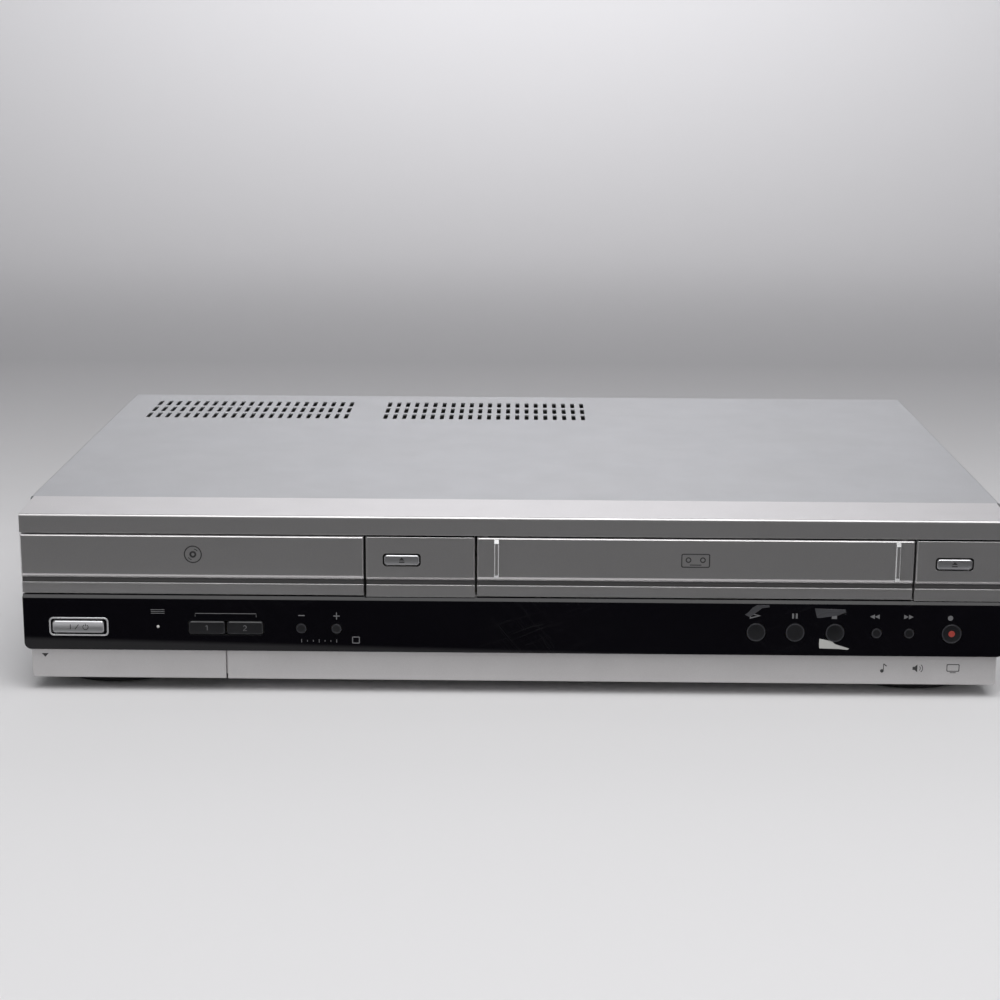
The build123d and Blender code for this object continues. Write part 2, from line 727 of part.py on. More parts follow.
with BuildPart() as loader_frame:
    block((frame_left, frame_right), (frame_front, frame_back), (frame_floor, frame_floor + 2.0))
    block(
        (disc_x - traverse_half_x[0] - traverse_gap, disc_x + traverse_half_x[1] + traverse_gap),
        (traverse_y[0] - traverse_gap, traverse_y[1] + traverse_gap),
        (frame_floor - 1, frame_floor + 3),
        Mode.SUBTRACT,
    )
    for wall_at, inner, lip in (
        ((frame_left, frame_left + frame_wall), frame_left + frame_wall, tray_left + 2.0),
        ((frame_right - frame_wall, frame_right), frame_right - frame_wall, tray_right - 2.0),
    ):
        block(wall_at, (frame_front, frame_back), (frame_floor, tray_top + 6.0))
        ledge = sorted((inner, lip))
        block(ledge, (frame_front, frame_back), (tray_plate_z - 2.0, tray_plate_z - rail_clearance))
        block(ledge, (frame_front, frame_back), (tray_top + rail_clearance, tray_top + 1.8))
    for x in (frame_left + 5.0, frame_right - 5.0):
        for y in (frame_front + 14.0, frame_back - 4.0):
            upright(x, y, (floor_top, frame_floor + 1), 3.5)
    upright(tray_gear_x, tray_gear_y, (frame_floor, tray_plate_z - 0.3), gear_pin_radius)
    upright(motor_x, tray_gear_y, (frame_floor - 1, frame_floor + 3), 3.0, Mode.SUBTRACT)
loader_frame.part.label = "loader_frame"
export_step(loader_frame.part, "parts/loader_frame.step")

with BuildPart() as tray_gear:
    with BuildSketch(Plane.XY.offset(lever_z)):
        with Locations((tray_gear_x, tray_gear_y)):
            add(gear_outline(drive_module, tray_gear_teeth, 0.0))
            Circle(gear_pin_radius + running_fit, mode=Mode.SUBTRACT)
    extrude(amount=3.2)
    with BuildSketch(Plane.XY.offset(lever_z + 3.2)):
        with Locations((tray_gear_x, tray_gear_y)):
            add(gear_outline(rack_module, pinion_teeth, 0.0))
            Circle(gear_pin_radius + running_fit, mode=Mode.SUBTRACT)
    extrude(amount=4.2)
tray_gear.part.label = "tray_gear"
export_step(tray_gear.part, "parts/tray_gear.step")

with BuildPart() as tray_motor:
    upright(motor_x, tray_gear_y, (frame_floor - 16, frame_floor), motor_radius)
    upright(motor_x, tray_gear_y, (frame_floor, lever_z + 3.6), 1.0)
tray_motor.part.label = "tray_motor"
export_step(tray_motor.part, "parts/tray_motor.step")

with BuildPart() as motor_pinion:
    with BuildSketch(Plane.XY.offset(lever_z)):
        with Locations((motor_x, tray_gear_y)):
            add(gear_outline(drive_module, motor_pinion_teeth, 180.0 / motor_pinion_teeth))
            Circle(1.0 + running_fit, mode=Mode.SUBTRACT)
    extrude(amount=3.0)
motor_pinion.part.label = "motor_pinion"
export_step(motor_pinion.part, "parts/motor_pinion.step")

# ------------------------------------------------------------------ traverse: spindle, pickup and sled
traverse_z = frame_floor + 2.5
plate = 2.0
rod_z = traverse_z + 6.0
rod_x = 24.0
rod_radius = 1.5
rod_y = (disc_y + 16.0, disc_y + 80.0)
sled_start = disc_y + 19.5
sled_length = 20.0
sled_travel = 34.0
sled_rack_x = disc_x + 30.6
sled_rack_z = (traverse_z + 4.0, traverse_z + 7.0)
sled_gear_x = sled_rack_x + sled_module * sled_gear_teeth / 2
sled_gear_y = disc_y + 32.0
spindle_radius = 1.0
turntable_z = tray_top - 0.9
turntable_radius = 14.0

with BuildPart() as traverse_deck:
    block(
        (disc_x - traverse_half_x[0], disc_x + traverse_half_x[1]), traverse_y, (traverse_z, traverse_z + plate)
    )
    block(
        (disc_x - 17.5, disc_x + 17.5),
        (disc_y + 18.0, disc_y + 76.0),
        (traverse_z - 1, traverse_z + plate + 1),
        Mode.SUBTRACT,
    )
    upright(disc_x, disc_y, (traverse_z - 1, traverse_z + plate + 1), 4.0, Mode.SUBTRACT)
    for side in (-1, 1):
        for y in rod_y:
            block(
                (disc_x + side * rod_x - 2.6, disc_x + side * rod_x + 2.6),
                (y - 1.6, y + 1.6),
                (traverse_z, rod_z + 2.4),
            )
        along_y(
            disc_x + side * rod_x, (rod_y[0] - 2, rod_y[1] + 2), rod_z, rod_radius, Mode.SUBTRACT
        )
    upright(sled_gear_x, sled_gear_y, (traverse_z, sled_rack_z[1] + 0.6), 1.2)
traverse_deck.part.label = "traverse_deck"
export_step(traverse_deck.part, "parts/traverse_deck.step")

with BuildPart() as guide_rods:
    for side in (-1, 1):
        along_y(disc_x + side * rod_x, (rod_y[0] - 2, rod_y[1] + 2), rod_z, rod_radius)
guide_rods.part.label = "guide_rods"
export_step(guide_rods.part, "parts/guide_rods.step")

with BuildPart() as pickup_head:
    block(
        (disc_x - rod_x - 3.4, disc_x + rod_x + 3.4),
        (sled_start, sled_start + sled_length),
        (rod_z - 2.9, rod_z + 3.0),
    )
    block((disc_x - 14, disc_x + 14), (sled_start + 2, sled_start + 17), (rod_z + 2.9, rod_z + 6.0))
    upright(disc_x, sled_start + 5.5, (rod_z + 5.9, rod_z + 8.6), 3.4)
    with Locations((sled_rack_x, sled_gear_y - 18.5 * pi * sled_module, sled_rack_z[0])):
        add(
            extrude(
                rack_outline(sled_module, sled_rack_teeth, 3.4),
                amount=sled_rack_z[1] - sled_rack_z[0],
                mode=Mode.PRIVATE,
            )
        )
    for side in (-1, 1):
        along_y(
            disc_x + side * rod_x,
            (sled_start - 1, sled_start + sled_length + 1),
            rod_z,
            rod_radius + running_fit,
            Mode.SUBTRACT,
        )
pickup_head.part.label = "pickup_head"
export_step(pickup_head.part, "parts/pickup_head.step")

with BuildPart() as sled_gear:
    with BuildSketch(Plane.XY.offset(sled_rack_z[0] + 0.2)):
        with Locations((sled_gear_x, sled_gear_y)):
            add(gear_outline(sled_module, sled_gear_teeth, 0.0))
            Circle(1.2 + running_fit, mode=Mode.SUBTRACT)
    extrude(amount=2.8)
sled_gear.part.label = "sled_gear"
export_step(sled_gear.part, "parts/sled_gear.step")

with BuildPart() as spindle_motor:
    upright(disc_x, disc_y, (traverse_z + plate, turntable_z - 3.0), 11.0)
    upright(disc_x, disc_y, (turntable_z - 3.0, turntable_z + 1.2), spindle_radius)
spindle_motor.part.label = "spindle_motor"
export_step(spindle_motor.part, "parts/spindle_motor.step")

with BuildPart() as turntable:
    upright(disc_x, disc_y, (turntable_z - 2.6, turntable_z), turntable_radius)
    with Locations((disc_x, disc_y, turntable_z)):
        Cone(7.4, 5.6, 1.6, align=CENTRE_LOW)
    upright(disc_x, disc_y, (turntable_z - 3, turntable_z + 2), spindle_radius + running_fit, Mode.SUBTRACT)
turntable.part.label = "turntable"
export_step(turntable.part, "parts/turntable.step")

bridge_z = tray_top + 6.0
clamp_neck = 11.0
with BuildPart() as clamp_bridge:
    block((frame_left, frame_right), (disc_y - 22, disc_y + 22), (bridge_z, bridge_z + 1.6))
    upright(disc_x, disc_y, (bridge_z - 1, bridge_z + 3), clamp_neck + 0.6, Mode.SUBTRACT)
clamp_bridge.part.label = "clamp_bridge"
export_step(clamp_bridge.part, "parts/clamp_bridge.step")

with BuildPart() as disc_clamp:
    upright(disc_x, disc_y, (bridge_z - 3.4, bridge_z - 1.0), 14.0)
    upright(disc_x, disc_y, (bridge_z - 1.0, bridge_z + 1.7), clamp_neck)
    upright(disc_x, disc_y, (bridge_z + 1.7, bridge_z + 3.2), 14.0)
disc_clamp.part.label = "disc_clamp"
export_step(disc_clamp.part, "parts/disc_clamp.step")

# ------------------------------------------------------------------ cassette door
rib_x = (door_left + 8.4, door_right - 6.9)
rib_width = 2.0
with BuildPart() as cassette_door:
    extrude(Location((door_left, 0, 0)) * door_outline(door_bottom), amount=cassette_door_width)
    chamfer(front_edges(cassette_door, front), edge_chamfer)
    for x in rib_x:
        with BuildSketch(Plane.YZ.offset(x - rib_width / 2)):
            with BuildLine():
                Polyline(
                    (front, crease_top - 0.2),
                    (front - key_proud, crease_top + 1.4),
                    (front - key_proud, door_top - 2.4),
                    (front, door_top - 0.8),
                    (front + 1.0, door_top - 0.8),
                    (front + 1.0, crease_top - 0.2),
                    close=True,
                )
            make_face()
        extrude(amount=rib_width)
        chamfer(
            front_edges(cassette_door, front - key_proud, (x - rib_width / 2, x + rib_width / 2)), 0.4
        )
    for side, edge in ((1, door_left), (-1, door_right)):
        ear = sorted((edge + side * ear_inset, edge + side * (ear_inset + ear_thickness)))
        block(ear, (hinge_y - ear_radius, hinge_y + ear_radius), (door_top - 1.6, hinge_z))
        along_x(ear, hinge_y, hinge_z, ear_radius)
        pin_reach = sorted((edge - side * 2.6, edge + side * (ear_inset + 1.0)))
        along_x(pin_reach, hinge_y, hinge_z, hinge_radius)
cassette_door.part.label = "cassette_door"
export_step(cassette_door.part, "parts/cassette_door.step")

with BuildPart() as door_spring:
    along_x((door_left + 1.2, door_left + 2.4), hinge_y, hinge_z, hinge_radius + 0.8)
    along_x((door_left + 1.0, door_left + 2.6), hinge_y, hinge_z, hinge_radius + 0.4, Mode.SUBTRACT)
    block((door_left + 1.2, door_left + 1.9), (hinge_y + 1.5, hinge_y + 9.0), (hinge_z - 0.4, hinge_z + 0.3))
door_spring.part.label = "door_spring"
export_step(door_spring.part, "parts/door_spring.step")

# ------------------------------------------------------------------ cassette carriage
holder_front = front + holder_from_front
holder_back = holder_front + cassette_depth
holder_floor = window_top - 1.2
holder_half = cassette_width / 2 + 0.6
holder_sheet = 1.0
holder_roof = door_top - 0.3
roof_front = holder_front + holder_roof_from_front
slider_half = holder_half + holder_sheet + 0.4
guide_half = slider_half + 1.0 + 0.4
guide_sheet = 1.2
pin_y = front + carriage_from_front
pin_z = holder_floor + 14.0
slide_pin_z = pin_z + 8.0
slide_pins_y = (pin_y - 19.0, pin_y + 19.0)
slider_bar_z = holder_roof + 2.4
guide_bar_z = slider_bar_z + 2.6

with BuildPart() as cassette_holder:
    for side in (-1, 1):
        inner = tape_x + side * holder_half
        wall = sorted((inner, inner + side * holder_sheet))
        ledge = sorted((inner, inner - side * 14.0))
        block(wall, (holder_front, holder_back), (holder_floor, holder_floor + 16.0))
        block(wall, (roof_front, holder_back), (holder_floor, holder_roof + holder_sheet))
        block(ledge, (holder_front, holder_back), (holder_floor, holder_floor + holder_sheet))
        pin = sorted((inner, inner + side * (holder_sheet + 0.4 + 0.9)))
        along_x(pin, pin_y, pin_z, 1.5)
    block(
        (tape_x - holder_half, tape_x + holder_half),
        (holder_front, holder_front + 16.0),
        (holder_floor, holder_floor + holder_sheet),
    )
    block(
        (tape_x - holder_half, tape_x + holder_half),
        (roof_front, holder_back),
        (holder_roof, holder_roof + holder_sheet),
    )
    block(
        (tape_x - 60, tape_x + 60),
        (holder_front + 52, holder_back - 18),
        (holder_roof - 1, holder_roof + 2),
        Mode.SUBTRACT,
    )
cassette_holder.part.label = "cassette_holder"
export_step(cassette_holder.part, "parts/cassette_holder.step")

slider_y = (pin_y - carriage_length / 2, pin_y + carriage_length / 2)
with BuildPart() as carriage_slider:
    for side in (-1, 1):
        inner = tape_x + side * slider_half
        wall = sorted((inner, inner + side * 1.0))
        block(wall, slider_y, (pin_z - holder_drop - 6, slider_bar_z + 1.2))
        slot = sorted((inner - side, inner + side * 2.0))
        block(
            slot,
            (pin_y - 1.6, pin_y + 1.6),
            (pin_z - holder_drop - 1.6, pin_z + 1.6),
            Mode.SUBTRACT,
        )
        for y in slide_pins_y:
            pin = sorted((inner + side * 0.5, inner + side * 2.4))
            along_x(pin, y, slide_pin_z, 1.5)
    block(
        (tape_x - slider_half - 0.5, tape_x + slider_half + 0.5),
        (pin_y - 6, pin_y + 6),
        (slider_bar_z, slider_bar_z + 1.2),
    )
carriage_slider.part.label = "carriage_slider"
export_step(carriage_slider.part, "parts/carriage_slider.step")

deck_z = floor_top + 6.0
deck_top = deck_z + 2.0
guide_front = holder_front + guide_from_holder
with BuildPart() as cassette_guides:
    for side in (-1, 1):
        inner = tape_x + side * guide_half
        wall = sorted((inner, inner + side * guide_sheet))
        block(wall, (guide_front, guide_front + guide_length), (deck_top, guide_bar_z + 1.2))
        slot = sorted((inner - side, inner + side * 3.0))
        block(
            slot,
            (slide_pins_y[0] - 1.6, slide_pins_y[1] + carriage_travel + 1.6),
            (slide_pin_z - 1.6, slide_pin_z + 1.6),
            Mode.SUBTRACT,
        )
    block(
        (tape_x - guide_half - 0.5, tape_x + guide_half + 0.5),
        (holder_front + guide_bridge[0], holder_front + guide_bridge[1]),
        (guide_bar_z, guide_bar_z + 1.2),
    )
cassette_guides.part.label = "cassette_guides"
export_step(cassette_guides.part, "parts/cassette_guides.step")

# ------------------------------------------------------------------ tape deck
drum_y = front + drum_from_front
reel_y = holder_front + reel_from_cassette_front + carriage_travel
post_x = 40.0
post_y = drum_y - 50.0
capstan_x = tape_x + capstan_from_drum[0]
capstan_y = drum_y + capstan_from_drum[1]
arm_pivot = (tape_x + arm_from_drum[0], drum_y + arm_from_drum[1])
arm_length = 24.0
arm_rest = 191.0
shaft_radius = 2.0
deck_y = (front + deck_from_front, drum_y + drum_radius + deck_beyond_drum)

with BuildPart() as tape_deck:
    block(
        (tape_x - guide_half - guide_sheet, tape_x + guide_half + guide_sheet),
        deck_y,
        (deck_z, deck_top),
    )
    for side in (-1, 1):
        reel_x = tape_x + side * reel_spacing / 2
        upright(reel_x, reel_y, (deck_z - 1, deck_top + 1), shaft_radius + running_fit, Mode.SUBTRACT)
        block(
            (tape_x + side * post_x - 1.6, tape_x + side * post_x + 1.6),
            (post_y - 3, post_y + post_travel + 3),
            (deck_z - 1, deck_top + 1),
            Mode.SUBTRACT,
        )
        for y in (deck_y[0] + deck_pillar_in, deck_y[1] - deck_pillar_in):
            upright(tape_x + side * deck_pillar_x, y, (floor_top, deck_z + 1), 3.0)
    upright(capstan_x, capstan_y, (deck_z - 1, deck_top + 1), shaft_radius + running_fit, Mode.SUBTRACT)
    upright(arm_pivot[0], arm_pivot[1], (deck_z, deck_top + 22), shaft_radius)
tape_deck.part.label = "tape_deck"
export_step(tape_deck.part, "parts/tape_deck.step")

drum_base = Plane(origin=(tape_x, drum_y, deck_top + 4.0)).rotated((0, drum_tilt, 0))
with BuildPart() as lower_drum:
    with BuildSketch(drum_base):
        Circle(drum_radius)
    extrude(amount=drum_half_height)
    with BuildSketch(drum_base.offset(drum_half_height)):
        Circle(3.0)
    extrude(amount=drum_half_height + 1.0)
    upright(tape_x, drum_y, (deck_top, deck_top + 10), drum_radius - 6)
lower_drum.part.label = "lower_drum"
export_step(lower_drum.part, "parts/lower_drum.step")

with BuildPart() as upper_drum:
    with BuildSketch(drum_base.offset(drum_half_height + 0.3)):
        Circle(drum_radius)
        Circle(3.0 + running_fit, mode=Mode.SUBTRACT)
    extrude(amount=drum_half_height)
upper_drum.part.label = "upper_drum"
export_step(upper_drum.part, "parts/upper_drum.step")

with BuildPart() as capstan:
    upright(capstan_x, capstan_y, (floor_top + 1.2, deck_z - 1.0), 20.0)
    upright(capstan_x, capstan_y, (deck_z - 1.0, deck_top + 26), shaft_radius)
capstan.part.label = "capstan"
export_step(capstan.part, "parts/capstan.step")

roller_x = arm_pivot[0] + arm_length * cos(radians(arm_rest))
roller_y = arm_pivot[1] + arm_length * sin(radians(arm_rest))
roller_radius = 7.0
with BuildPart() as pinch_arm:
    with BuildSketch(Plane.XY.offset(deck_top + 4)):
        with Locations(((arm_pivot[0] + roller_x) / 2, (arm_pivot[1] + roller_y) / 2)):
            SlotCenterToCenter(arm_length, 8.4, rotation=arm_rest)
        with Locations(arm_pivot):
            Circle(shaft_radius + running_fit, mode=Mode.SUBTRACT)
    extrude(amount=2.4)
    upright(roller_x, roller_y, (deck_top + 6.4, deck_top + 23), 1.5)
pinch_arm.part.label = "pinch_arm"
export_step(pinch_arm.part, "parts/pinch_arm.step")

with BuildPart() as pinch_roller:
    upright(roller_x, roller_y, (deck_top + 6.7, deck_top + 22), roller_radius)
    upright(roller_x, roller_y, (deck_top + 6, deck_top + 23), 1.5 + running_fit, Mode.SUBTRACT)
pinch_roller.part.label = "pinch_roller"
export_step(pinch_roller.part, "parts/pinch_roller.step")

for name, side in (("supply_reel", -1), ("takeup_reel", 1)):
    reel_x = tape_x + side * reel_spacing / 2
    with BuildPart() as reel:
        upright(reel_x, reel_y, (deck_top + 0.4, deck_top + 3.4), reel_radius)
        upright(reel_x, reel_y, (deck_top + 3.4, deck_top + 18), 6.0)
        upright(reel_x, reel_y, (deck_z - 2, deck_top + 0.4), shaft_radius)
        for turn in range(3):
            angle = 2 * pi * turn / 3
            upright(reel_x + 6 * cos(angle), reel_y + 6 * sin(angle), (deck_top + 3.4, deck_top + 16), 1.2)
    reel.part.label = name
    export_step(reel.part, f"parts/{name}.step")

for name, side in (("guide_post_left", -1), ("guide_post_right", 1)):
    x = tape_x + side * post_x
    with BuildPart() as guide_post:
        block((x - 5, x + 5), (post_y - 5, post_y + 5), (deck_top + 0.2, deck_top + 3.6))
        block((x - 1.4, x + 1.4), (post_y - 2.6, post_y + 2.6), (deck_z - 0.8, deck_top + 0.2))
        upright(x, post_y, (deck_top + 3.6, deck_top + 22), 2.6)
        upright(x, post_y, (deck_top + 22, deck_top + 23.4), 3.6)
    guide_post.part.label = name
    export_step(guide_post.part, f"parts/{name}.step")

# ------------------------------------------------------------------ boards and sockets
board_z = floor_top + 4.0
front_board_y = (board_front, board_front + board_thickness)
with BuildPart() as front_board:
    block((-fascia_half + 8, fascia_half - 8), front_board_y, (trim_top + 1.4, window_top - 2.5))
    for x in (disc_eject_x, tape_eject_x):
        block((x - 8, x + 8), front_board_y, (window_top - 3, eject_z + 5))
    for name, x, radius in round_keys:
        block((x - 3, x + 3), (board_front - switch_height, board_front), (key_z - 3, key_z + 3))
    for name, x, z, width, height, proud in bar_keys:
        block((x - 3, x + 3), (board_front - switch_height, board_front), (z - 3, z + 3))
    block((-30, 40), (board_front - 2.0, board_front), (key_z - 5, key_z + 5))
front_board.part.label = "front_board"
export_step(front_board.part, "parts/front_board.step")

power_board_y = (frame_front + 10.0, frame_back - 10.0)
with BuildPart() as power_board:
    block((disc_x - 60, disc_x + 58), power_board_y, (board_z, board_z + board_thickness))
    block((disc_x - 50, disc_x - 18), (power_board_y[1] - 42, power_board_y[1] - 12), (board_z, board_z + 17))
    for index in range(3):
        upright(disc_x + 2 + 17 * index, power_board_y[1] - 24, (board_z + 1, board_z + 17), 6.5)
    block((disc_x - 54, disc_x - 50), (power_board_y[0] + 8, power_board_y[1] - 50), (board_z, board_z + 15))
    for x in (disc_x - 56, disc_x + 54):
        for y in (power_board_y[0] + 4, power_board_y[1] - 4):
            upright(x, y, (floor_top, board_z), 2.5)
power_board.part.label = "power_board"
export_step(power_board.part, "parts/power_board.step")

main_board_y = (frame_back + 4.0, panel_front - 3.0)
main_board_x = (-fascia_half + 8, tape_x - guide_half - guide_sheet - 6)
with BuildPart() as main_board:
    block(main_board_x, main_board_y, (board_z, board_z + board_thickness))
    for chip_x, chip_y, size in ((55, 20, 22), (93, 22, 16), (135, 24, 20)):
        x = main_board_x[0] + chip_x
        y = main_board_y[0] + chip_y
        block((x - size / 2, x + size / 2), (y - size / 2, y + size / 2), (board_z + 1, board_z + 3.6))
    for index in range(5):
        x = main_board_x[0] + 15 + 9 * index
        upright(x, main_board_y[0] + 44, (board_z + 1, board_z + 12), 3.0)
    for x in (main_board_x[0] + 5, main_board_x[1] - 5):
        for y in (main_board_y[0] + 5, main_board_y[1] - 5):
            upright(x, y, (floor_top, board_z), 2.5)
main_board.part.label = "main_board"
export_step(main_board.part, "parts/main_board.step")

board_top = board_z + board_thickness
socket_back = panel_front - 0.2
with BuildPart() as av_sockets:
    block((jack_x[0] - 9, jack_x[-1] + 9), (socket_back - 12, socket_back), (board_top, jack_z[1] + 8))
    for x in jack_x:
        for z in jack_z:
            along_y(x, (socket_back - 1, rear), z, jack_shoulder)
            along_y(x, (rear - 1, rear + jack_length), z, jack_radius)
            along_y(x, (rear - 0.5, rear + jack_length), z, 1.6, Mode.SUBTRACT)
av_sockets.part.label = "av_sockets"
export_step(av_sockets.part, "parts/av_sockets.step")

with BuildPart() as tuner_block:
    block((aerial_x[0] - 12, aerial_x[1] + 12), (socket_back - 40, socket_back), (board_top, aerial_z + 9))
    for x in aerial_x:
        along_y(x, (socket_back - 1, rear), aerial_z, aerial_shoulder)
        along_y(x, (rear - 1, socket_tips), aerial_z, aerial_radius)
        along_y(x, (rear, socket_tips + 1), aerial_z, 0.9, Mode.SUBTRACT)
tuner_block.part.label = "tuner_block"
export_step(tuner_block.part, "parts/tuner_block.step")

inlet_recess = (17.4, 8.6)
inlet_depth = 10.0
with BuildPart() as mains_inlet:
    block(
        (inlet_x - inlet_size[0] / 2, inlet_x + inlet_size[0] / 2),
        (rear - 16, rear),
        (inlet_z - inlet_size[1] / 2, inlet_z + inlet_size[1] / 2),
    )
    with BuildSketch(facing(rear + 1)):
        with Locations((inlet_x, inlet_z)):
            RectangleRounded(inlet_recess[0], inlet_recess[1], 4.2)
    extrude(amount=inlet_depth + 1, mode=Mode.SUBTRACT)
    for side in (-1, 1):
        along_y(inlet_x + side * 4.3, (rear - 15, rear - 1.5), inlet_z, 1.2)
    block((inlet_x - 6, inlet_x + 6), (rear - 16, rear - 11), (board_top, inlet_z))
mains_inlet.part.label = "mains_inlet"
export_step(mains_inlet.part, "parts/mains_inlet.step")

input_back = front + 14.0
input_x = [(pocket_left + pocket_right) / 2 + 22.0 * column for column in (-1, 0, 1)]
input_z = (pocket_floor + pocket_roof) / 2
with BuildPart() as input_sockets:
    block((pocket_left, pocket_right), (input_back, input_back + 2.0), (floor_top, pocket_roof + 2))
    block((pocket_left, pocket_right), (chassis_front, input_back), (pocket_roof, pocket_roof + 1.4))
    for x in input_x:
        along_y(x, (flap_back + 0.9, input_back + 1), input_z, jack_radius)
        along_y(x, (trim_front, input_back - 0.5), input_z, 1.6, Mode.SUBTRACT)
input_sockets.part.label = "input_sockets"
export_step(input_sockets.part, "parts/input_sockets.step")
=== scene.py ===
"""Looks of a disc player and cassette recorder in one flat case.

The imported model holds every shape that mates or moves. This script dresses it with a procedural finish for
each material slot, the printed marks on the front, the keys' rims and the fittings at the back, and sets it
in a studio. Sizes are in millimetres until a vertex is made. +X is to the right seen from the front, +Y to
the rear, +Z up.
"""
import json
import logging
import math
from dataclasses import dataclass, replace
from enum import Enum
from typing import Callable, Iterable, Sequence

import bmesh
import bpy
from mathutils import Matrix, Vector

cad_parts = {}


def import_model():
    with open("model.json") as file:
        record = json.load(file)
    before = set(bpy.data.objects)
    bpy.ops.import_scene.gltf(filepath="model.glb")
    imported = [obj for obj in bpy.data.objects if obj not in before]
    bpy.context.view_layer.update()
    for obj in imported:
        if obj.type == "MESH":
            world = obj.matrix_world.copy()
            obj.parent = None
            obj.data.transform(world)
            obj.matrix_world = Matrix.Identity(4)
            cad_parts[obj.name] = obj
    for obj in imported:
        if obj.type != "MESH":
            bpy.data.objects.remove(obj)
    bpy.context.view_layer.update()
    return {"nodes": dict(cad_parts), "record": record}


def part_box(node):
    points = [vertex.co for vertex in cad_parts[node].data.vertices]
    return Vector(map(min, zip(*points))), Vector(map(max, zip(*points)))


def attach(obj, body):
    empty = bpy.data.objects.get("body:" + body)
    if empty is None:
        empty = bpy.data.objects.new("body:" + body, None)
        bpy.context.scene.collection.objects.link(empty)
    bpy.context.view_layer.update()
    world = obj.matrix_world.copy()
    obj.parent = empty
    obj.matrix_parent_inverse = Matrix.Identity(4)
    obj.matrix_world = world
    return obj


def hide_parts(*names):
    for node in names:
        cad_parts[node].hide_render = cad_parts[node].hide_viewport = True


MM = 0.001

Colour = tuple[float, float, float]
Point = tuple[float, float]
Outline = list[Point]
Placer = Callable[[float, float, float], Vector]

log = logging.getLogger("player")


def shown(red: int, green: int, blue: int) -> Colour:
    """Linear colour of a finish that looks like this on screen.

    Args:
        red: Red part, 0 to 255.
        green: Green part, 0 to 255.
        blue: Blue part, 0 to 255.

    Returns:
        The three linear parts, 0 to 1.
    """
    parts = []
    for value in (red, green, blue):
        share = value / 255
        parts.append(share / 12.92 if share <= 0.04045 else ((share + 0.055) / 1.055) ** 2.4)
    return tuple(parts)


# ---------------------------------------------------------------------- shared surface effects


class Effect(Enum):
    """Surface effects that several finishes share, one node group each."""

    GRAIN = "grain"
    EDGE_WEAR = "edge_wear"
    DUST = "dust"
    HAIRLINES = "hairlines"


class Nodes:
    """One node tree, with short calls to add nodes and join them."""

    def __init__(self, tree: bpy.types.NodeTree) -> None:
        """Take the tree that the nodes go into."""
        self.tree = tree

    def add(self, kind: str, **settings: object) -> bpy.types.Node:
        """Add a node.

        Args:
            kind: Blender's name of the node type.
            **settings: Properties to set on it.

        Returns:
            The new node.
        """
        node = self.tree.nodes.new(kind)
        for name, value in settings.items():
            setattr(node, name, value)
        return node

    def feed(self, source: object, target: bpy.types.NodeSocket) -> None:
        """Join a socket to another, or set that other to a plain value.

        Args:
            source: Socket or plain value that goes in.
            target: Socket that takes it.
        """
        if isinstance(source, bpy.types.NodeSocket):
            self.tree.links.new(source, target)
        else:
            target.default_value = source

    def math(self, operation: str, *values: object, clamp: bool = False) -> bpy.types.NodeSocket:
        """Work out a value from others.

        Args:
            operation: Blender's name of the operation.
            *values: Sockets or plain numbers.
            clamp: Keep the result between 0 and 1.

        Returns:
            The socket of the result.
        """
        node = self.add("ShaderNodeMath", operation=operation, use_clamp=clamp)
        for index, value in enumerate(values):
            self.feed(value, node.inputs[index])
        return node.outputs[0]

    def ramp(
        self, value: object, low: float, high: float, start: float = 0.0, end: float = 1.0
    ) -> bpy.types.NodeSocket:
        """Map the stretch from low to high onto start to end, and stop there.

        Args:
            value: Socket to map.
            low: Value that gives start.
            high: Value that gives end.
            start: Result at low and below.
            end: Result at high and above.

        Returns:
            The socket of the result.
        """
        node = self.add("ShaderNodeMapRange", clamp=True)
        for index, given in enumerate((value, low, high, start, end)):
            self.feed(given, node.inputs[index])
        return node.outputs[0]

    def blend(self, share: object, first: object, second: object) -> bpy.types.NodeSocket:
        """Mix two colours.

        Args:
            share: Socket or number, how much of the second shows.
            first: Socket or linear colour.
            second: Socket or linear colour.

        Returns:
            The socket of the mixed colour.
        """
        node = self.add("ShaderNodeMix", data_type="RGBA")
        self.feed(share, node.inputs[0])
        for given, target in ((first, node.inputs[6]), (second, node.inputs[7])):
            self.feed(given if isinstance(given, bpy.types.NodeSocket) else (*given, 1.0), target)
        return node.outputs[2]

    def local(self, stretch: object = (1.0, 1.0, 1.0)) -> bpy.types.NodeSocket:
        """Place on the piece in metres, stretched along each axis.

        Args:
            stretch: Socket or three factors.

        Returns:
            The socket of the place.
        """
        place = self.add("ShaderNodeTexCoord").outputs["Object"]
        scaled = self.add("ShaderNodeVectorMath", operation="MULTIPLY")
        self.feed(place, scaled.inputs[0])
        self.feed(stretch, scaled.inputs[1])
        return scaled.outputs[0]

    def noise(self, place: object, scale: object, detail: float = 2.0) -> bpy.types.NodeSocket:
        """Cloudy value round 0.5.

        Args:
            place: Socket of the place to take it at.
            scale: Clouds per metre, as a socket or a number.
            detail: How many finer layers it has.

        Returns:
            The socket of the value.
        """
        node = self.add("ShaderNodeTexNoise")
        self.feed(place, node.inputs["Vector"])
        self.feed(scale, node.inputs["Scale"])
        node.inputs["Detail"].default_value = detail
        return node.outputs[0]


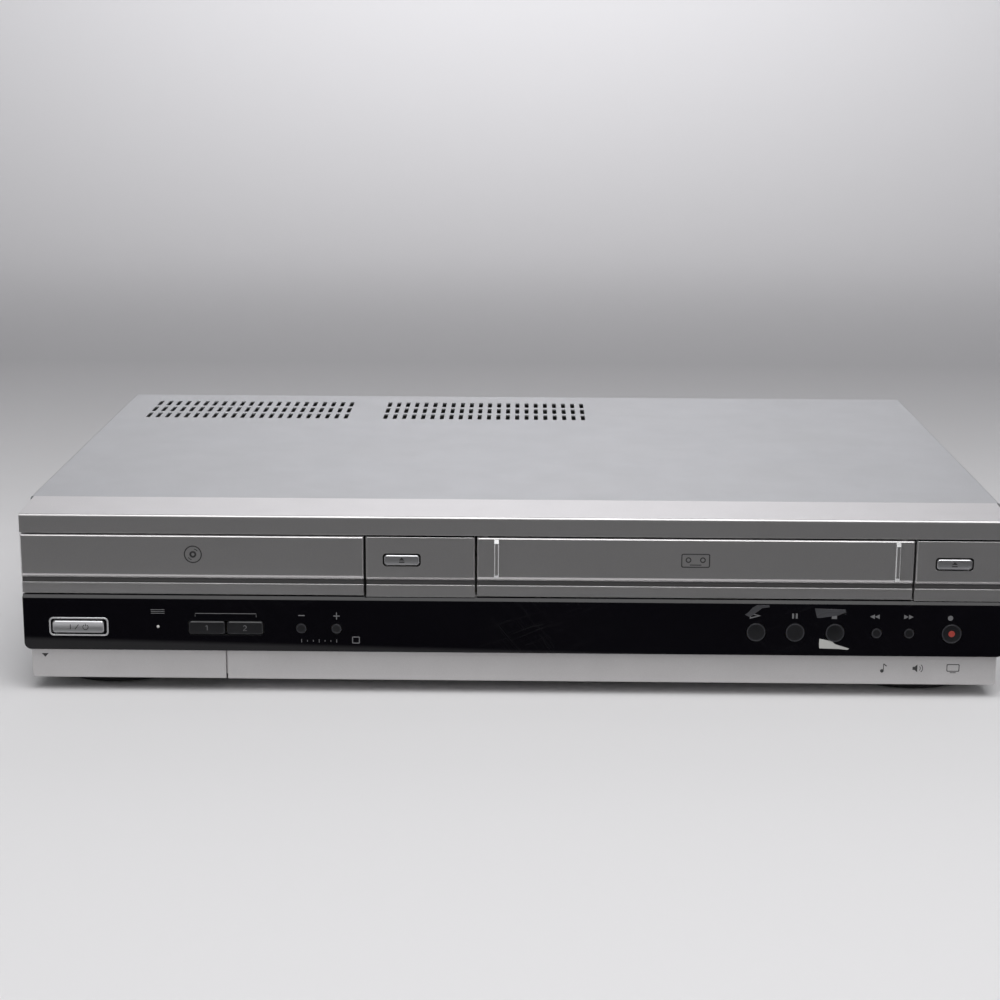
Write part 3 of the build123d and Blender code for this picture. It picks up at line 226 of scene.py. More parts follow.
class EffectLibrary:
    """Builds each shared node group once and hands it out."""

    def __init__(self) -> None:
        """Start with no group built."""
        self.groups: dict[Effect, bpy.types.NodeTree] = {}
        self.makers: dict[Effect, Callable[[], bpy.types.NodeTree]] = {
            Effect.GRAIN: self._grain,
            Effect.EDGE_WEAR: self._edge_wear,
            Effect.DUST: self._dust,
            Effect.HAIRLINES: self._hairlines,
        }

    def place(self, effect: Effect, nodes: Nodes, **inputs: object) -> bpy.types.Node:
        """Put an effect into a material.

        Args:
            effect: Which one.
            nodes: The material's nodes.
            **inputs: Values for the group's inputs, by their names.

        Returns:
            The group node.
        """
        if effect not in self.groups:
            self.groups[effect] = self.makers[effect]()
        node = nodes.add("ShaderNodeGroup", node_tree=self.groups[effect])
        for name, value in inputs.items():
            nodes.feed(value, node.inputs[name])
        return node

    def _begin(
        self, effect: Effect, inputs: Sequence[tuple[str, str, object]], outputs: Sequence[str]
    ) -> tuple[Nodes, bpy.types.Node, bpy.types.Node]:
        """Open an empty group.

        Args:
            effect: Effect that the group is for.
            inputs: Name, socket type and starting value of each input.
            outputs: Names of the outputs, all plain values.

        Returns:
            Its nodes, its input node and its output node.
        """
        tree = bpy.data.node_groups.new(effect.value, "ShaderNodeTree")
        for label, kind, value in inputs:
            socket = tree.interface.new_socket(label, in_out="INPUT", socket_type=kind)
            socket.default_value = value
        for label in outputs:
            tree.interface.new_socket(label, in_out="OUTPUT", socket_type="NodeSocketFloat")
        nodes = Nodes(tree)
        return nodes, nodes.add("NodeGroupInput"), nodes.add("NodeGroupOutput")

    def _grain(self) -> bpy.types.NodeTree:
        """Build fine grain as a height, broad clouds of tone and single flecks.

        Returns:
            The group's tree.
        """
        nodes, given, made = self._begin(
            Effect.GRAIN,
            (("Scale", "NodeSocketFloat", 1000.0), ("Stretch", "NodeSocketVector", (1.0, 1.0, 1.0))),
            ("Cloud", "Height", "Fleck"),
        )
        place = nodes.local(given.outputs["Stretch"])
        coarse = nodes.math("MULTIPLY", given.outputs["Scale"], 0.03)
        nodes.feed(nodes.ramp(nodes.noise(place, coarse, 3.0), 0.3, 0.7), made.inputs["Cloud"])
        nodes.feed(nodes.noise(place, given.outputs["Scale"], 3.0), made.inputs["Height"])
        finer = nodes.math("MULTIPLY", given.outputs["Scale"], 2.3)
        nodes.feed(nodes.ramp(nodes.noise(place, finer, 1.0), 0.35, 0.65), made.inputs["Fleck"])
        return nodes.tree

    def _edge_wear(self) -> bpy.types.NodeTree:
        """Build the mask of the edges that hands and shelves rub, broken up by noise.

        Returns:
            The group's tree.
        """
        nodes, given, made = self._begin(
            Effect.EDGE_WEAR,
            (("Radius", "NodeSocketFloat", 0.0006), ("Gain", "NodeSocketFloat", 3.0)),
            ("Mask",),
        )
        rounded = nodes.add("ShaderNodeBevel", samples=4)
        nodes.feed(given.outputs["Radius"], rounded.inputs["Radius"])
        facing = nodes.add("ShaderNodeVectorMath", operation="DOT_PRODUCT")
        nodes.feed(rounded.outputs[0], facing.inputs[0])
        nodes.feed(nodes.add("ShaderNodeNewGeometry").outputs["Normal"], facing.inputs[1])
        turned = nodes.math("SUBTRACT", 1.0, facing.outputs["Value"])
        edge = nodes.math("MULTIPLY", turned, given.outputs["Gain"], clamp=True)
        patches = nodes.ramp(nodes.noise(nodes.local(), 90.0, 4.0), 0.4, 0.65)
        nodes.feed(nodes.math("MULTIPLY", edge, patches), made.inputs["Mask"])
        return nodes.tree

    def _dust(self) -> bpy.types.NodeTree:
        """Build the mask of settled dust on what faces up: a thin film and single specks.

        Returns:
            The group's tree.
        """
        nodes, given, made = self._begin(
            Effect.DUST,
            (("Amount", "NodeSocketFloat", 0.3), ("Specks", "NodeSocketFloat", 260.0)),
            ("Mask",),
        )
        split = nodes.add("ShaderNodeSeparateXYZ")
        nodes.feed(nodes.add("ShaderNodeNewGeometry").outputs["Normal"], split.inputs[0])
        facing_up = nodes.ramp(split.outputs["Z"], 0.5, 0.95)
        film = nodes.ramp(nodes.noise(nodes.local(), 14.0, 5.0), 0.42, 0.75)
        cells = nodes.add("ShaderNodeTexVoronoi")
        nodes.feed(nodes.local(), cells.inputs["Vector"])
        nodes.feed(given.outputs["Specks"], cells.inputs["Scale"])
        dots = nodes.ramp(cells.outputs["Distance"], 0.05, 0.09, 1.0, 0.0)
        thinned = nodes.math("MULTIPLY", dots, nodes.ramp(nodes.noise(nodes.local(), 40.0, 2.0), 0.5, 0.62))
        both = nodes.math("ADD", nodes.math("MULTIPLY", film, 0.5), thinned, clamp=True)
        settled = nodes.math("MULTIPLY", both, facing_up)
        nodes.feed(nodes.math("MULTIPLY", settled, given.outputs["Amount"]), made.inputs["Mask"])
        return nodes.tree

    def _hairlines(self) -> bpy.types.NodeTree:
        """Build the mask of fine scratches in two directions, gathered in patches.

        Returns:
            The group's tree.
        """
        nodes, given, made = self._begin(
            Effect.HAIRLINES,
            (("Amount", "NodeSocketFloat", 0.5), ("Width", "NodeSocketFloat", 0.004)),
            ("Mask",),
        )
        lines = []
        for turn, length in ((0.35, 9.0), (-0.9, 14.0)):
            turned = nodes.add("ShaderNodeVectorRotate", rotation_type="Y_AXIS")
            nodes.feed(nodes.local(), turned.inputs["Vector"])
            nodes.feed(turn, turned.inputs["Angle"])
            drawn = nodes.add("ShaderNodeVectorMath", operation="MULTIPLY")
            nodes.feed(turned.outputs[0], drawn.inputs[0])
            nodes.feed((length, length, 340.0), drawn.inputs[1])
            cloud = nodes.noise(drawn.outputs[0], 1.0)
            off_middle = nodes.math("ABSOLUTE", nodes.math("SUBTRACT", cloud, 0.5))
            lines.append(nodes.math("LESS_THAN", off_middle, given.outputs["Width"]))
        patch = nodes.ramp(nodes.noise(nodes.local(), 22.0, 2.0), 0.5, 0.7)
        all_lines = nodes.math("MAXIMUM", *lines)
        mask = nodes.math("MULTIPLY", nodes.math("MULTIPLY", all_lines, patch), given.outputs["Amount"])
        nodes.feed(mask, made.inputs["Mask"])
        return nodes.tree


# ---------------------------------------------------------------------- finishes

SCRATCH_TONE: Colour = (0.35, 0.35, 0.36)
DUST_TONE = shown(206, 204, 198)
SILVER_WORN = shown(214, 214, 212)


@dataclass(frozen=True)
class Finish:
    """A procedural finish: a base tone, its clouding, grain, gloss, wear and dust."""

    name: str
    colour: Colour
    cloud: Colour
    roughness: float = 0.5
    rough_spread: float = 0.06
    metallic: float = 0.0
    specular: float = 0.5
    coat: float = 0.0
    grain: float = 1500.0  # grains per metre
    stretch: tuple[float, float, float] = (1.0, 1.0, 1.0)
    bump: float = 0.15
    bump_depth: float = 0.00006
    fleck: float = 0.0  # how much single flakes of the paint lighten
    edge_radius: float = 0.0002
    wear: float = 0.0
    worn: Colour = (0.7, 0.7, 0.7)
    dust: float = 0.0
    hairlines: float = 0.0

    def build(self, effects: EffectLibrary) -> bpy.types.Material:
        """Build the material.

        Args:
            effects: The shared node groups.

        Returns:
            The material.
        """
        material = bpy.data.materials.new(self.name)
        material.use_nodes = True
        material.diffuse_color = (*self.colour, 1.0)
        nodes = Nodes(material.node_tree)
        nodes.tree.nodes.clear()
        surface = nodes.add("ShaderNodeBsdfPrincipled")
        nodes.feed(surface.outputs[0], nodes.add("ShaderNodeOutputMaterial").inputs[0])
        surface.inputs["Metallic"].default_value = self.metallic
        surface.inputs["Specular IOR Level"].default_value = self.specular
        surface.inputs["Coat Weight"].default_value = self.coat
        surface.inputs["Coat Roughness"].default_value = 0.08
        grain = effects.place(Effect.GRAIN, nodes, Scale=self.grain, Stretch=self.stretch)
        tone = nodes.blend(grain.outputs["Cloud"], self.colour, self.cloud)
        if self.fleck:
            flakes = nodes.math("MULTIPLY", grain.outputs["Fleck"], self.fleck)
            tone = nodes.blend(flakes, tone, (1.0, 1.0, 1.0))
        tone = self.tint(nodes, tone)
        smoothest, roughest = self.roughness - self.rough_spread, self.roughness + self.rough_spread
        rough = nodes.ramp(grain.outputs["Cloud"], 0.0, 1.0, smoothest, roughest)
        tone, rough = self.weather(effects, nodes, tone, rough)
        nodes.feed(tone, surface.inputs["Base Color"])
        nodes.feed(rough, surface.inputs["Roughness"])
        rounded = nodes.add("ShaderNodeBevel", samples=4)
        rounded.inputs["Radius"].default_value = self.edge_radius
        bump = nodes.add("ShaderNodeBump")
        bump.inputs["Strength"].default_value = self.bump
        bump.inputs["Distance"].default_value = self.bump_depth
        nodes.feed(self.relief(nodes, grain.outputs["Height"]), bump.inputs["Height"])
        nodes.feed(rounded.outputs[0], bump.inputs["Normal"])
        nodes.feed(bump.outputs[0], surface.inputs["Normal"])
        return material

    def weather(
        self,
        effects: EffectLibrary,
        nodes: Nodes,
        tone: bpy.types.NodeSocket,
        rough: bpy.types.NodeSocket,
    ) -> tuple[bpy.types.NodeSocket, bpy.types.NodeSocket]:
        """Add the worn edges, the hairlines and the dust that this finish has.

        Args:
            effects: The shared node groups.
            nodes: The material's nodes.
            tone: Socket of the clean tone.
            rough: Socket of the clean roughness.

        Returns:
            The sockets of the weathered tone and roughness.
        """
        if self.wear:
            worn = effects.place(Effect.EDGE_WEAR, nodes).outputs["Mask"]
            tone = nodes.blend(nodes.math("MULTIPLY", worn, self.wear), tone, self.worn)
        if self.hairlines:
            lines = effects.place(Effect.HAIRLINES, nodes, Amount=self.hairlines).outputs["Mask"]
            tone = nodes.blend(nodes.math("MULTIPLY", lines, 0.25), tone, SCRATCH_TONE)
            rough = nodes.math("ADD", rough, nodes.math("MULTIPLY", lines, 0.3), clamp=True)
        if self.dust:
            film = effects.place(Effect.DUST, nodes, Amount=self.dust).outputs["Mask"]
            tone = nodes.blend(film, tone, DUST_TONE)
            rough = nodes.math("ADD", rough, nodes.math("MULTIPLY", film, 0.4), clamp=True)
        return tone, rough

    def tint(self, nodes: Nodes, tone: bpy.types.NodeSocket) -> bpy.types.NodeSocket:
        """Colour that a kind of finish adds to the plain tone; none here."""
        return tone

    def relief(self, nodes: Nodes, height: bpy.types.NodeSocket) -> bpy.types.NodeSocket:
        """Height that a kind of finish adds to the grain; none here."""
        return height


@dataclass(frozen=True)
class CircuitBoard(Finish):
    """Resin board with printed tracks below and dark parts that stand on it."""

    board_top: float = 0.0136  # metres
    part_colour: Colour = (0.02, 0.02, 0.022)
    track_colour: Colour = shown(186, 170, 120)
    track_scale: float = 160.0
    track_line: float = 0.04
    track_share: float = 0.6

    def tint(self, nodes: Nodes, tone: bpy.types.NodeSocket) -> bpy.types.NodeSocket:
        """Add tracks on the board and the parts' own dark tone above it.

        Args:
            nodes: The material's nodes.
            tone: Socket of the plain tone.

        Returns:
            The socket of the new tone.
        """
        tracks = nodes.add("ShaderNodeTexBrick")
        nodes.feed(nodes.local(), tracks.inputs["Vector"])
        tracks.inputs["Scale"].default_value = self.track_scale
        tracks.inputs["Mortar Size"].default_value = self.track_line
        share = nodes.math("MULTIPLY", tracks.outputs["Fac"], self.track_share)
        with_tracks = nodes.blend(share, tone, self.track_colour)
        split = nodes.add("ShaderNodeSeparateXYZ")
        nodes.feed(nodes.local(), split.inputs[0])
        above = nodes.math("GREATER_THAN", split.outputs["Z"], self.board_top)
        return nodes.blend(above, with_tracks, self.part_colour)


@dataclass(frozen=True)
class TurnedMetal(Finish):
    """Metal turned on a lathe, with fine rings round its axis."""

    ring_pitch: float = 0.0004  # metres

    def relief(self, nodes: Nodes, height: bpy.types.NodeSocket) -> bpy.types.NodeSocket:
        """Add the rings that the tool left, one above the other.

        Args:
            nodes: The material's nodes.
            height: Socket of the grain's height.

        Returns:
            The socket of the new height.
        """
        split = nodes.add("ShaderNodeSeparateXYZ")
        nodes.feed(nodes.local(), split.inputs[0])
        turns = nodes.math("MULTIPLY", split.outputs["Z"], 2 * math.pi / self.ring_pitch)
        return nodes.math("ADD", nodes.math("MULTIPLY", nodes.math("SINE", turns), 0.5), height)


SLOT_FINISHES: dict[str, Finish] = {finish.name: finish for finish in (
    Finish(
        "silver_cover", shown(180, 181, 184), shown(178, 179, 182), roughness=0.42, rough_spread=0.02,
        metallic=0.7, grain=1900.0, bump=0.25, fleck=0.14, wear=0.35, worn=SILVER_WORN, dust=0.14,
    ),
    Finish(
        "silver_front", shown(206, 204, 204), shown(204, 202, 202), roughness=0.3, rough_spread=0.01,
        metallic=0.84, grain=2600.0, bump=0.12, fleck=0.12, edge_radius=0.0004, wear=0.4, worn=SILVER_WORN,
        dust=0.06,
    ),
    Finish(
        "silver_key", shown(204, 204, 206), shown(202, 202, 204), roughness=0.28, rough_spread=0.01,
        metallic=0.85, grain=2400.0, bump=0.01, wear=0.2, worn=SILVER_WORN,
    ),
    Finish(
        "black_window", shown(9, 8, 12), shown(11, 10, 14), roughness=0.03, rough_spread=0.01, specular=0.32,
        grain=600.0, bump=0.01, edge_radius=0.0003, dust=0.1, hairlines=0.07,
    ),
    Finish(
        "black_key", shown(17, 17, 20), shown(22, 22, 25), roughness=0.34, grain=2200.0, bump=0.08, wear=0.5,
        worn=shown(110, 110, 114),
    ),
    Finish(
        "bare_steel", shown(176, 177, 174), shown(160, 161, 160), roughness=0.38, metallic=1.0, grain=900.0,
        stretch=(0.15, 1.0, 1.0), bump=0.12, wear=0.2, worn=shown(208, 208, 204), dust=0.15,
    ),
    Finish(
        "black_plastic", shown(34, 34, 35), shown(40, 40, 41), roughness=0.58, grain=1400.0, bump=0.35,
        bump_depth=0.0001, wear=0.3, worn=shown(88, 88, 90), dust=0.12,
    ),
    Finish(
        "white_plastic", shown(226, 222, 210), shown(218, 213, 198), roughness=0.42, grain=1100.0, bump=0.1
    ),
    CircuitBoard(
        "board", shown(158, 134, 86), shown(146, 122, 76), roughness=0.5, grain=800.0, bump=0.1, dust=0.2
    ),
    Finish(
        "rubber_pad", shown(48, 48, 48), shown(56, 56, 55), roughness=0.82, grain=1700.0, bump=0.4,
        bump_depth=0.0001, dust=0.1,
    ),
    TurnedMetal(
        "drum_metal", shown(206, 207, 209), shown(196, 197, 200), roughness=0.26, metallic=1.0, grain=1500.0,
        bump=0.1,
    ),
    TurnedMetal(
        "bright_shaft", shown(222, 222, 222), shown(214, 214, 215), roughness=0.12, rough_spread=0.03,
        metallic=1.0, grain=1500.0, bump=0.04,
    ),
    Finish(
        "pinch_rubber", shown(30, 30, 31), shown(38, 38, 38), roughness=0.7, grain=2000.0, bump=0.3
    ),
    Finish(
        "tinned_can", shown(190, 189, 183), shown(176, 175, 170), roughness=0.32, metallic=1.0, grain=500.0,
        bump=0.1, wear=0.3, worn=shown(214, 212, 205),
    ),
)}

SILVER_TRIM = Finish(
    "silver_trim", shown(198, 196, 196), shown(195, 193, 193), roughness=0.36, rough_spread=0.01,
    metallic=0.75, grain=2600.0, bump=0.12, fleck=0.12, edge_radius=0.0004, wear=0.4, worn=SILVER_WORN,
    dust=0.06,
)
NODE_FINISHES: dict[str, Finish] = {
    "lower_trim": SILVER_TRIM,
    "input_flap": SILVER_TRIM,
    "front_board": replace(SLOT_FINISHES["board"], name="upright_board", board_top=1.0),
}


class Ink(Enum):
    """Paints and small coloured plastics that the extra pieces use."""

    GREY_PRINT = Finish(
        "grey_print", shown(112, 112, 114), shown(100, 100, 102), roughness=0.5, grain=3000.0
    )
    DARK_PRINT = Finish("dark_print", shown(44, 43, 44), shown(54, 53, 54), roughness=0.5, grain=3000.0)
    RING_PAINT = Finish(
        "ring_paint", shown(204, 204, 205), shown(196, 196, 198), roughness=0.3, metallic=0.5, grain=2600.0
    )
    # painted highlight: pale grey for the light caught on the edge of the round black keys
    KEY_RIM_HIGHLIGHT = Finish("key_rim_highlight", shown(64, 64, 68), shown(52, 52, 56), roughness=0.25, grain=2400.0)
    # painted shadow: black for the shade inside the gaps and round the eject keys
    PAINTED_SHADOW_BLACK = Finish("painted_shadow_black", shown(6, 6, 6), shown(8, 8, 8), roughness=0.8, specular=0.1)
    RED_SPOT = Finish("red_spot", shown(168, 60, 50), shown(150, 52, 44), roughness=0.4, grain=2400.0)
    LAMP_LENS = Finish("lamp_lens", shown(206, 204, 200), shown(190, 188, 184), roughness=0.15, coat=0.6)
    TORN_FILM = Finish(
        "torn_film", shown(74, 74, 77), shown(48, 48, 52), roughness=0.3, grain=900.0, bump=0.5
    )
    TORN_PAPER = Finish(
        "torn_paper", shown(188, 188, 184), shown(150, 150, 148), roughness=0.8, grain=900.0, bump=0.6
    )
    YELLOW_INSERT = Finish("yellow_insert", shown(214, 178, 46), shown(204, 168, 40), roughness=0.4)
    WHITE_INSERT = Finish("white_insert", shown(226, 226, 222), shown(216, 216, 212), roughness=0.4)
    RED_INSERT = Finish("red_insert", shown(178, 40, 36), shown(166, 34, 32), roughness=0.4)
    # painted highlight: bright plates on the rib edges where the chamfers catch light
    PAINTED_HIGHLIGHT = Finish(
        "polished", shown(226, 226, 226), shown(216, 216, 217), roughness=0.2, metallic=0.5, grain=2400.0,
        bump=0.02,
    )
    # painted shade: dark grey that stands for the shadow in the groove under each crease
    CREASE_PAINTED_SHADE = Finish(
        "crease_painted_shade", shown(74, 73, 73), shown(70, 69, 69), roughness=0.6, metallic=0.3, grain=2600.0,
        bump=0.05,
    )
    PLATED = Finish(
        "plated", shown(206, 203, 194), shown(196, 193, 184), roughness=0.2, metallic=1.0, grain=1500.0,
        bump=0.06,
    )
    BLANK_PLATE = Finish(
        "blank_plate", shown(196, 198, 200), shown(188, 190, 192), roughness=0.45, metallic=0.4
    )
    LENS_GLASS = Finish("lens_glass", shown(58, 40, 92), shown(40, 60, 110), roughness=0.05, coat=1.0)


class PaintShop:
    """Builds each finish once and hands out its material."""

    def __init__(self) -> None:
        """Start with the shared effects and no material."""
        self.effects = EffectLibrary()
        self.built: dict[str, bpy.types.Material] = {}

    def material(self, finish: Finish) -> bpy.types.Material:
        """Hand out the material of a finish, built at its first use.

        Args:
            finish: The finish.

        Returns:
            Its material.
        """
        if finish.name not in self.built:
            self.built[finish.name] = finish.build(self.effects)
        return self.built[finish.name]

    def dress_nodes(self, nodes: dict[str, bpy.types.Object], subparts: Iterable[dict]) -> None:
        """Give each CAD node the finish of its material slot.

        Args:
            nodes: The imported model's objects by name.
            subparts: The record's list of nodes and their slots.
        """
        for subpart in subparts:
            name, slot = subpart["node"], subpart["material_slot"]
            finish = NODE_FINISHES.get(name, SLOT_FINISHES[slot])
            mesh = nodes[name].data
            mesh.materials.clear()
            mesh.materials.append(self.material(finish))
            log.info("%s dressed in %s", name, finish.name)


# ---------------------------------------------------------------------- flat outlines


def circle(middle: Point, radius: float, steps: int = 28) -> Outline:
    """Points round a circle.

    Args:
        middle: Its centre.
        radius: Its radius.
        steps: How many points it has.

    Returns:
        The points, anticlockwise from its right side.
    """
    turn = 2 * math.pi / steps
    return [
        (middle[0] + radius * math.cos(turn * step), middle[1] + radius * math.sin(turn * step))
        for step in range(steps)
    ]


def rounded_bar(middle: Point, width: float, height: float, corner: float, steps: int = 5) -> Outline:
    """Points round a bar with rounded corners.

    Args:
        middle: Its centre.
        width: Its width.
        height: Its height.
        corner: Radius of its corners.
        steps: Steps round each corner.

    Returns:
        The points, anticlockwise from the right side's upper corner.
    """
    points = []
    for quarter, (along, up) in enumerate(((1, 1), (-1, 1), (-1, -1), (1, -1))):
        centre = (middle[0] + along * (width / 2 - corner), middle[1] + up * (height / 2 - corner))
        for step in range(steps + 1):
            angle = math.pi / 2 * (quarter + step / steps)
            points.append((centre[0] + corner * math.cos(angle), centre[1] + corner * math.sin(angle)))
    return points


def bar(middle: Point, width: float, height: float) -> Outline:
    """Corners of a plain bar.

    Args:
        middle: Its centre.
        width: Its width.
        height: Its height.

    Returns:
        The four corners, anticlockwise.
    """
    left, right = middle[0] - width / 2, middle[0] + width / 2
    foot, head = middle[1] - height / 2, middle[1] + height / 2
    return [(left, foot), (right, foot), (right, head), (left, head)]


def arrow(middle: Point, width: float, height: float) -> Outline:
    """Triangle that points to the right, or to the left with a negative width.

    Args:
        middle: Its centre.
        width: Its width, negative for one that points to the left.
        height: Its height.

    Returns:
        The three corners, anticlockwise.
    """
    points = [(-width / 2, -height / 2), (width / 2, 0.0), (-width / 2, height / 2)]
    moved = [(middle[0] + along, middle[1] + up) for along, up in points]
    return moved if width > 0 else moved[::-1]


def stroke(points: Sequence[Point], width: float) -> Outline:
    """Outline of a pen line of one width along the points.

    Args:
        points: The line's points, at least two.
        width: Width of the pen.

    Returns:
        Its outline, anticlockwise.
    """
    right, left = [], []
    for index, point in enumerate(points):
        before = Vector(points[max(index - 1, 0)])
        after = Vector(points[min(index + 1, len(points) - 1)])
        along = (after - before).normalized()
        side = Vector((along.y, -along.x)) * width / 2
        right.append((point[0] + side.x, point[1] + side.y))
        left.append((point[0] - side.x, point[1] - side.y))
    return right + left[::-1]


def arc(middle: Point, radius: float, start: float, end: float, steps: int = 12) -> list[Point]:
    """Points along an arc.

    Args:
        middle: Its centre.
        radius: Its radius.
        start: Its first angle, in degrees.
        end: Its last angle, in degrees.
        steps: How many steps it has.

    Returns:
        The points from start to end.
    """
    angles = [math.radians(start + (end - start) * step / steps) for step in range(steps + 1)]
    return [(middle[0] + radius * math.cos(angle), middle[1] + radius * math.sin(angle)) for angle in angles]


# ---------------------------------------------------------------------- workbench


class Workbench:
    """Turns outlines into closed pieces, dresses them and fixes them to a body."""

    def __init__(self, shop: PaintShop) -> None:
        """Take the shop that dresses the pieces."""
        self.shop = shop

    @staticmethod
    def slab(mesh: bmesh.types.BMesh, outline: Outline, place: Placer, near: float, far: float) -> None:
        """Add a closed slab with this outline between two depths.

        Args:
            mesh: Mesh to add to.
            outline: Its points, anticlockwise seen from the side of near.
            place: Turns the two flat coordinates and a depth into a place.
            near: Depth of its face.
            far: Depth of its back.
        """
        face = [mesh.verts.new(place(u, v, near)) for u, v in outline]
        back = [mesh.verts.new(place(u, v, far)) for u, v in outline]
        mesh.faces.new(face)
        mesh.faces.new(back[::-1])
        for index in range(len(outline)):
            after = (index + 1) % len(outline)
            mesh.faces.new((face[after], face[index], back[index], back[after]))

    @staticmethod
    def band(
        mesh: bmesh.types.BMesh, outer: Outline, inner: Outline, place: Placer, near: float, far: float
    ) -> None:
        """Add a closed band between two outlines of as many points.

        Args:
            mesh: Mesh to add to.
            outer: Outer outline, anticlockwise.
            inner: Inner outline, anticlockwise.
            place: Turns the two flat coordinates and a depth into a place.
            near: Depth of its face.
            far: Depth of its back.
        """
        loops = [
            [mesh.verts.new(place(u, v, depth)) for u, v in outline]
            for outline, depth in ((outer, near), (inner, near), (inner, far), (outer, far))
        ]
        for index in range(len(outer)):
            after = (index + 1) % len(outer)
            for side in range(4):
                this, other = loops[side], loops[(side + 1) % 4]
                mesh.faces.new((this[index], this[after], other[after], other[index]))

    @staticmethod
    def turned(
        mesh: bmesh.types.BMesh, profile: Sequence[Point], place: Placer, middle: Point, steps: int = 28
    ) -> None:
        """Add a closed turned form.

        Args:
            mesh: Mesh to add to.
            profile: Radius and depth of each ring, from the first end to the last.
            place: Turns the two flat coordinates and a depth into a place.
            middle: Flat place of its axis.
            steps: Steps round the axis.
        """
        rings = [[mesh.verts.new(place(u, v, depth)) for u, v in circle(middle, radius, steps)]
                 for radius, depth in profile]
        mesh.faces.new(rings[0])
        mesh.faces.new(rings[-1][::-1])
        for this, other in zip(rings, rings[1:]):
            for index in range(steps):
                after = (index + 1) % steps
                mesh.faces.new((this[after], this[index], other[index], other[after]))

    def piece(
        self,
        name: str,
        mesh: bmesh.types.BMesh,
        finish: Finish,
        body: str,
        slot: str,
        smooth: bool = False,
        replaces: Sequence[str] = (),
    ) -> bpy.types.Object:
        """Finish a piece and fix it to its body.

        Args:
            name: The piece's name.
            mesh: Its mesh, used up here.
            finish: Its finish.
            body: The body that it moves with.
            slot: The record's material slot that it belongs to; not used.
            smooth: Shade its gentle turns smoothly.
            replaces: CAD nodes that it stands for.

        Returns:
            The object.
        """
        bmesh.ops.recalc_face_normals(mesh, faces=mesh.faces)
        data = bpy.data.meshes.new(name)
        mesh.to_mesh(data)
        mesh.free()
        data.materials.append(self.shop.material(finish))
        if smooth:
            data.shade_smooth()
            data.set_sharp_from_angle(angle=math.radians(35))
        made = bpy.data.objects.new(name, data)
        bpy.context.scene.collection.objects.link(made)
        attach(made, body)
        if replaces:
            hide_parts(*replaces)
        log.info("%s made, %d faces, rides on %s", name, len(data.polygons), body)
        return made


def front_placer(plane: float) -> Placer:
    """Placer for the front: u to the right, v up, depth to the rear from the plane at this y."""
    return lambda u, v, depth: Vector((u * MM, (plane + depth) * MM, v * MM))


def rear_placer(plane: float) -> Placer:
    """Placer for the rear: u is still X, v up, depth to the front from the plane at this y."""
    return lambda u, v, depth: Vector((u * MM, (plane - depth) * MM, v * MM))


def side_placer(side: int, end: float) -> Placer:
    """Placer for one end, side -1 or 1: u is Y, v up, depth to the middle from this distance."""
    return lambda u, v, depth: Vector((side * (end - depth) * MM, u * MM, v * MM))


def top_placer(height: float) -> Placer:
    """Placer for a level face: u is X, v is Y, depth down from this height."""
    return lambda u, v, depth: Vector((u * MM, v * MM, (height - depth) * MM))


def middle_of(node: str) -> Vector:
    """Centre of a CAD node's box, in millimetres."""
    low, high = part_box(node)
    return (low + high) / 2 / MM


# ---------------------------------------------------------------------- sub-assemblies


@dataclass
class FrontWork:
    """What the groups of pieces on the fascia share: its front plane and the way to print on it."""

    bench: Workbench
    front: float  # y of the fascia's front plane
    ink: float = 0.03  # half the thickness of a print

    def stamp(self, mesh: bmesh.types.BMesh, outline: Outline, place: Placer | None = None) -> None:
        """Add one printed form.

        Args:
            mesh: Mesh to add to.
            outline: Its points, anticlockwise.
            place: Placer of the printed face; the front plane's without one.
        """
        self.bench.slab(mesh, outline, place or front_placer(self.front), -self.ink, self.ink)

    def stamp_ring(
        self, mesh: bmesh.types.BMesh, outer: Outline, inner: Outline, place: Placer | None = None
    ) -> None:
        """Add one printed ring or frame.

        Args:
            mesh: Mesh to add to.
            outer: Outer outline, anticlockwise.
            inner: Inner outline with as many points.
            place: Placer of the printed face; the front plane's without one.
        """
        self.bench.band(mesh, outer, inner, place or front_placer(self.front), -self.ink, self.ink)


